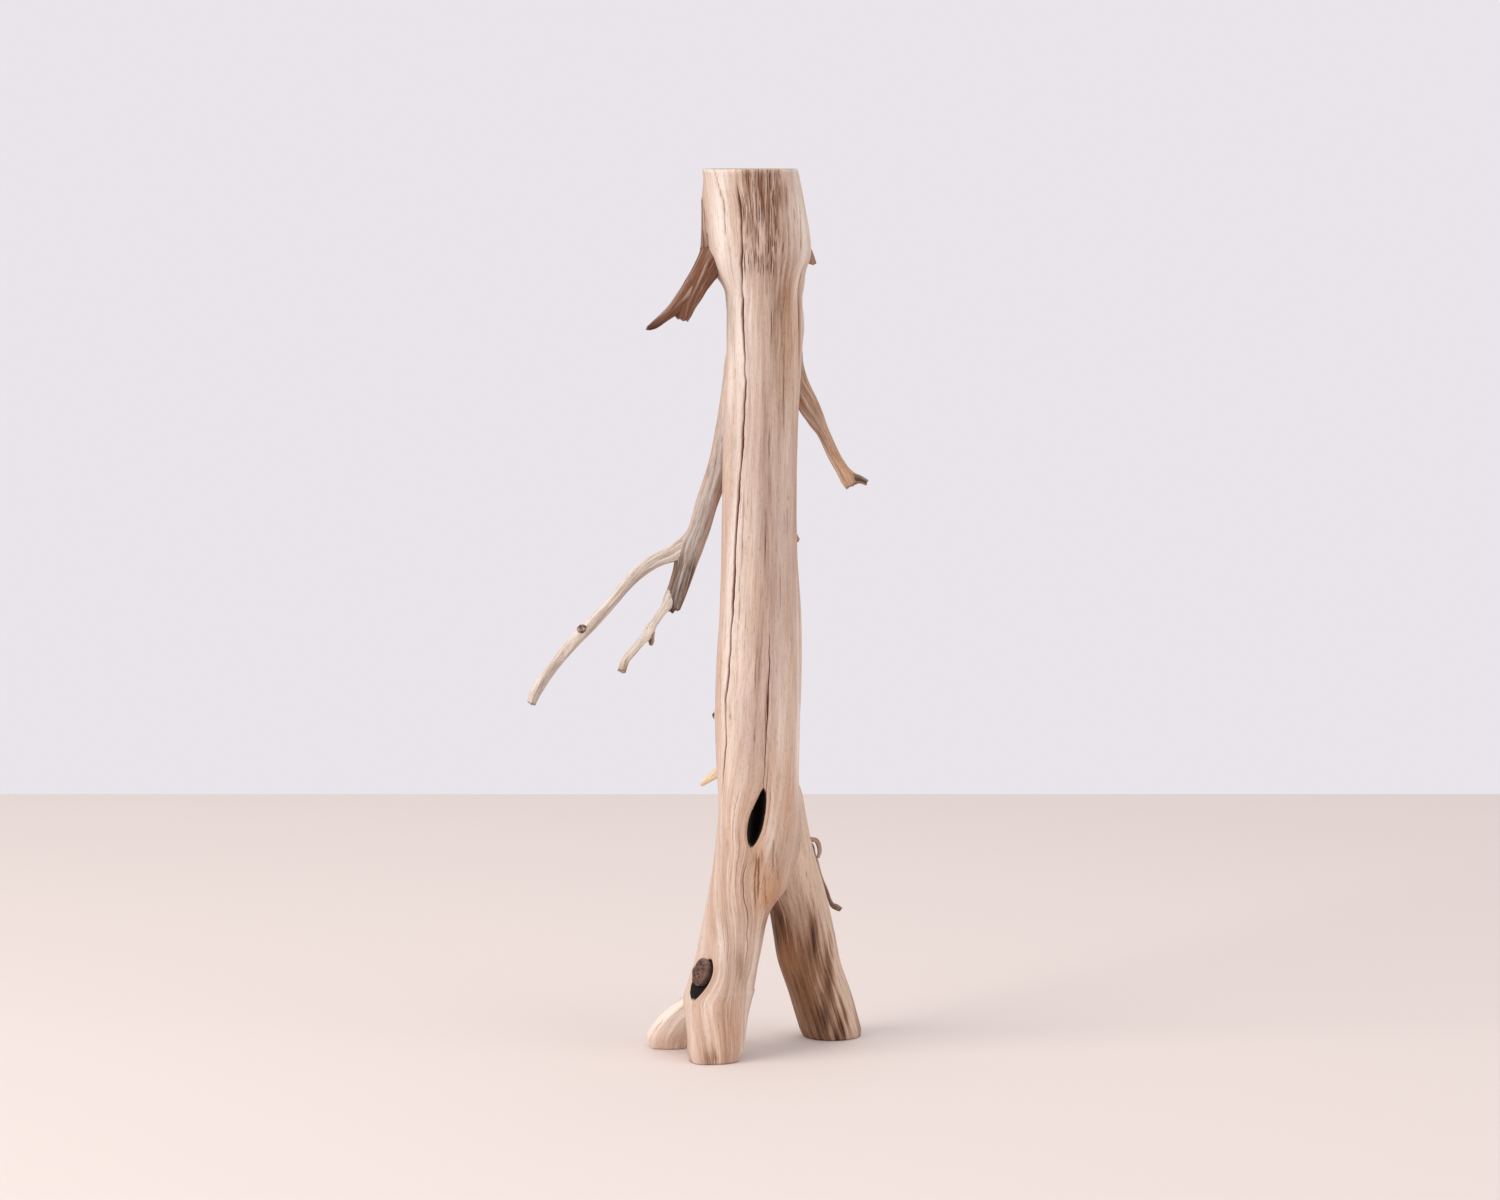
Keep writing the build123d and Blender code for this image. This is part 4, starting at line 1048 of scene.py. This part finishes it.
def relief_tree():
    """Geometry Nodes tree that raises strands and fibres along the grain of a growth."""
    tree = bpy.data.node_groups.new("weathered_relief", "GeometryNodeTree")
    face = tree.interface
    face.new_socket("Wood", in_out="INPUT", socket_type="NodeSocketGeometry")
    for name, value in (("Strand Width", 2.4), ("Strand Length", 34.0), ("Strand Height", STRAND_HEIGHT),
                        ("Fibre Width", 0.8), ("Fibre Length", 9.0), ("Fibre Height", FIBRE_HEIGHT),
                        ("Seed", 1.0)):
        face.new_socket(name, in_out="INPUT", socket_type="NodeSocketFloat").default_value = value
    face.new_socket("Finish", in_out="INPUT", socket_type="NodeSocketMaterial")
    face.new_socket("Wood", in_out="OUTPUT", socket_type="NodeSocketGeometry")
    inputs = link(tree, "NodeGroupInput").outputs

    def carried(name, kind):
        return link(tree, "GeometryNodeInputNamedAttribute", {"Name": name}, data_type=kind).outputs[0]

    grain = carried("grain", "FLOAT_VECTOR")
    pit = link(tree, "FunctionNodeSeparateColor", {0: carried("marks", "FLOAT_COLOR")}).outputs[1]

    def raised(kind):
        across = math_node(tree, "DIVIDE", 1.0, inputs[kind + " Width"])
        along = math_node(tree, "DIVIDE", 1.0, inputs[kind + " Length"])
        scale = link(tree, "ShaderNodeCombineXYZ", {0: across, 1: across, 2: along}).outputs[0]
        noise = link(tree, "ShaderNodeTexNoise", {
            "Vector": vector_math(tree, "MULTIPLY", grain, scale), "W": inputs["Seed"], "Scale": 1.0,
            "Detail": 2.0, "Roughness": 0.55}, noise_dimensions="4D")
        height = times(tree, inputs[kind + " Height"], 2.0)
        return times(tree, minus(tree, noise.outputs["Fac"], 0.5), height)

    total = plus(tree, raised("Strand"), raised("Fibre"))
    total = times(tree, times(tree, total, minus(tree, 1.0, pit)), MM)
    normal = link(tree, "GeometryNodeInputNormal").outputs[0]
    offset = link(tree, "ShaderNodeVectorMath", {0: normal, "Scale": total}, operation="SCALE").outputs[0]
    moved = link(tree, "GeometryNodeSetPosition", {"Geometry": inputs["Wood"], "Offset": offset})
    real = link(tree, "GeometryNodeRealizeInstances", {"Geometry": moved.outputs[0]}).outputs[0]
    finish = link(tree, "GeometryNodeSetMaterial", {"Geometry": real, "Material": inputs["Finish"]})
    link(tree, "NodeGroupOutput", {0: finish.outputs[0]})
    return tree


RELIEF = relief_tree()


# -------- pieces

def placed(name, data):
    """New object in the scene, made from a mesh, a lamp's or a camera's data."""
    item = bpy.data.objects.new(name, data)
    bpy.context.scene.collection.objects.link(item)
    return item


def wood_mesh(name, woods):
    """One mesh from the grids of a piece, with grain, marks and stains (painted light and shade among them)
    as attributes.
    """
    faces, fields, first = [], [], 0
    for wood in woods:
        points, wood_faces, *rest = wood.mesh_data(first)
        faces += wood_faces
        fields.append([points, *rest])
        first += len(points)
    points, grain, marks, stains = (np.concatenate(field) for field in zip(*fields))
    mesh = bpy.data.meshes.new(name)
    mesh.from_pydata(((points + STEM_ORIGIN) * MM).tolist(), [], faces)
    marks = np.column_stack([marks, np.ones(len(marks))])
    for label, kind, part, values in (("grain", "FLOAT_VECTOR", "vector", grain),
                                      ("marks", "FLOAT_COLOR", "color", marks),
                                      ("stains", "FLOAT_COLOR", "color", np.clip(stains, 0, 1))):
        mesh.attributes.new(label, kind, "POINT").data.foreach_set(part, values.ravel())
    return mesh


def raise_relief(piece, finish, seed, relief):
    """Run the relief tree on a piece and keep its result as a plain mesh."""
    modifier = piece.modifiers.new("weathered_relief", "NODES")
    modifier.node_group = RELIEF
    sockets = {item.name: item.identifier for item in RELIEF.interface.items_tree if item.in_out == "INPUT"}
    modifier[sockets["Seed"]] = float(seed)
    modifier[sockets["Strand Height"]] = STRAND_HEIGHT * relief
    modifier[sockets["Fibre Height"]] = FIBRE_HEIGHT * relief
    modifier[sockets["Finish"]] = finish
    evaluated = piece.evaluated_get(bpy.context.evaluated_depsgraph_get())
    finished = bpy.data.meshes.new_from_object(evaluated)
    piece.modifiers.clear()
    piece.data = finished


def keep_inside(mesh):
    """Hold a finished piece within the outer box of the solids."""
    points = np.empty(3 * len(mesh.vertices))
    mesh.vertices.foreach_get("co", points)
    points = np.clip(points.reshape(-1, 3), *(np.array(corner) for corner in cad_box))
    mesh.vertices.foreach_set("co", points.ravel())


def make_piece(name, node, slot, woods, seed, relief=1.0):
    """Turn grids into one piece, raise its relief and put it in place of its CAD node."""
    piece = placed(name, wood_mesh(name, woods))
    raise_relief(piece, FINISH[slot], seed, relief)
    piece.data.name = name
    keep_inside(piece.data)
    piece.data.shade_smooth()
    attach(piece, "root")
    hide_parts(node)


LIMB_WORN = 0.06
HOLLOW_END = -0.5
ROUND_END = 0.3
LIMB_RELIEF = 0.6
AREA_OF_A_CRACK = 18


def close_limb(limb, bulge):
    """Close both ends of a limb; bulge is how far its tip stands out, as a share of its size."""
    limb.close_end(True, 5, bulge * limb.size, limb.along[-1], LIMB_WORN)
    limb.close_end(False, 3, 0.0, -limb.along[0], LIMB_WORN)


def finish_legs(stem, leg, toe):
    """Wear and close the feet, close the tops, and make the stem's and the rear leg's pieces."""
    wear_foot(stem, height=6.0, depth=2.0, seed=61)
    wear_foot(leg, height=5.0, depth=1.2, seed=62)
    wear_foot(toe, height=6.0, depth=2.2, seed=63)
    up, down = (0, 0, 1), (0, 0, -1)
    for wood, top_rings, foot_rings, top_worn, foot_worn in ((stem, 26, 14, 0.03, 0.06),
                                                             (leg, 4, 14, 0.05, 0.05),
                                                             (toe, 4, 10, 0.05, 0.07)):
        wood.close_end(True, top_rings, 0.0, up, top_worn)
        wood.close_end(False, foot_rings, 0.0, down, foot_worn)
    make_piece("driftwood_stem", "trunk", "trunk_wood", [stem, toe], seed=5)
    make_piece("driftwood_rear_leg", "rear_leg", "leg_wood", [leg], seed=9)


def finish_limbs(limbs, random):
    """Crack and close every limb and make its piece; the prong is part of the stub's."""
    prong = limbs.pop("prong")
    close_limb(prong, HOLLOW_END)
    for number, (name, limb) in enumerate(limbs.items()):
        length = limb.places[-1]
        count = int(length * limb.size / AREA_OF_A_CRACK)
        scatter_fissures(limb, limb.size, random, count, low=0, high=length, width=(0.2, 0.4),
                         depth=(0.15, 0.5), length=(2, 8))
        close_limb(limb, ROUND_END if name == "dead_knot" else HOLLOW_END)
        if name in ("dead_knot", "long_twig_knob"):
            limb.end[:] = 0
        woods = [limb, prong] if name == "shoulder_stub" else [limb]
        make_piece(name + "_wood", name, LIMBS[name].slot, woods, seed=20 + number, relief=LIMB_RELIEF)


def make_figure():
    random = np.random.default_rng(41)
    stem = make_stem()
    carve_stem(stem)
    leg_rows = spaced_rows(0, REAR_LEG_TOP, 1.3, [(0, 2, 0.7)])
    leg = make_lower_growth(REAR_LEG, leg_rows, column_count=200, seed=21)
    toe_rows = spaced_rows(0, TOE[-1][0], 1.0, [(0, 2, 0.6)])
    toe = make_lower_growth(TOE, toe_rows, column_count=140, seed=31)
    scatter_fissures(stem, 17.0, random, count=130, low=20, high=376)
    scatter_fissures(stem, 20.0, random, count=150, low=336, high=379, width=(0.35, 0.55),
                     depth=(0.4, 1.0), length=(1.5, 6), side=(-128, -62))
    scatter_fissures(leg, 13.2, random, count=50, low=4, high=90, depth=(0.3, 1.0))
    scatter_fissures(toe, 9.4, random, count=14, low=2, high=24)
    limbs = {name: limb_wood(limb, 100 + 7 * number) for number, (name, limb) in enumerate(LIMBS.items())}
    draw_out_knot(limbs["dead_knot"])
    blend_legs(stem, leg, toe)
    blend_limbs(stem, limbs)
    paint_legs_stains_and_light(stem, leg, toe)
    paint_limbs_stains_and_shade(limbs)
    finish_legs(stem, leg, toe)
    finish_limbs(limbs, random)


make_figure()


# -------- floor, backdrop, light and camera

# The floor and the lamps are placed in metres, the camera in millimetres like the wood.
FLOOR_REACH = 0.71
FLOOR_COLOUR = tone(228, 214, 208)
WALL_COLOUR = tone(233, 229, 234)
AMBIENT_COLOUR = (0.93, 0.95, 1.0)
MIDDLE = (0.0, 0.0, 0.2)
CAMERA_PLACE = (-3.0, -1877.33, 404.84)
CAMERA_DOWN = 6.354


def make_floor():
    mesh = bpy.data.meshes.new("floor")
    corners = [(-FLOOR_REACH, -FLOOR_REACH, 0), (FLOOR_REACH, -FLOOR_REACH, 0),
               (FLOOR_REACH, FLOOR_REACH, 0), (-FLOOR_REACH, FLOOR_REACH, 0)]
    mesh.from_pydata(corners, [], [(0, 1, 2, 3)])
    material = bpy.data.materials.new("pale_floor")
    material.use_nodes = True
    shader = material.node_tree.nodes["Principled BSDF"]
    shader.inputs["Base Color"].default_value = (*FLOOR_COLOUR, 1)
    shader.inputs["Roughness"].default_value = 0.8
    shader.inputs["Specular IOR Level"].default_value = 0.1
    mesh.materials.append(material)
    floor = placed("floor", mesh)


def make_world():
    """Pale wall where the world is seen, soft cool light elsewhere."""
    world = bpy.data.worlds.new("studio")
    bpy.context.scene.world = world
    world.use_nodes = True
    tree = world.node_tree
    tree.nodes.clear()
    path = link(tree, "ShaderNodeLightPath").outputs
    mirrored = math_node(tree, "MAXIMUM", path["Is Glossy Ray"], path["Is Transmission Ray"])
    seen = math_node(tree, "MAXIMUM", path["Is Camera Ray"], mirrored)
    wall = link(tree, "ShaderNodeBackground", {"Color": (*WALL_COLOUR, 1), "Strength": 1.0}).outputs[0]
    ambient = link(tree, "ShaderNodeBackground", {"Color": (*AMBIENT_COLOUR, 1), "Strength": 0.55}).outputs[0]
    blended = link(tree, "ShaderNodeMixShader", {0: seen, 1: ambient, 2: wall}).outputs[0]
    link(tree, "ShaderNodeOutputWorld", {"Surface": blended})


def lamp(name, place, size, energy, colour):
    """Soft square lamp that points at the middle of the figure."""
    data = bpy.data.lights.new(name, "AREA")
    data.size = size
    data.energy = energy
    data.color = colour
    item = placed(name, data)
    item.location = place
    x, y, z = np.array(MIDDLE) - np.array(place)
    item.rotation_euler = (math.atan2(math.hypot(x, y), -z), 0, math.atan2(-x, y))


def make_camera():
    data = bpy.data.cameras.new("camera")
    data.lens = 105.6
    data.sensor_width = 36.0
    camera = placed("camera", data)
    camera.location = (STEM_ORIGIN + np.array(CAMERA_PLACE)) * MM
    camera.rotation_euler = (math.radians(90 - CAMERA_DOWN), 0, 0)
    bpy.context.scene.camera = camera


make_floor()
make_world()
lamp("window", (-1.6, -0.9, 1.1), size=1.4, energy=31, colour=(1.0, 0.97, 0.94))
lamp("fill", (1.9, -1.3, 0.7), size=1.8, energy=15, colour=(1.0, 0.98, 0.97))
lamp("sky", (0.2, 0.1, 2.2), size=2.4, energy=18, colour=(1.0, 0.99, 0.98))
make_camera()
bpy.context.scene.view_settings.view_transform = "Standard"
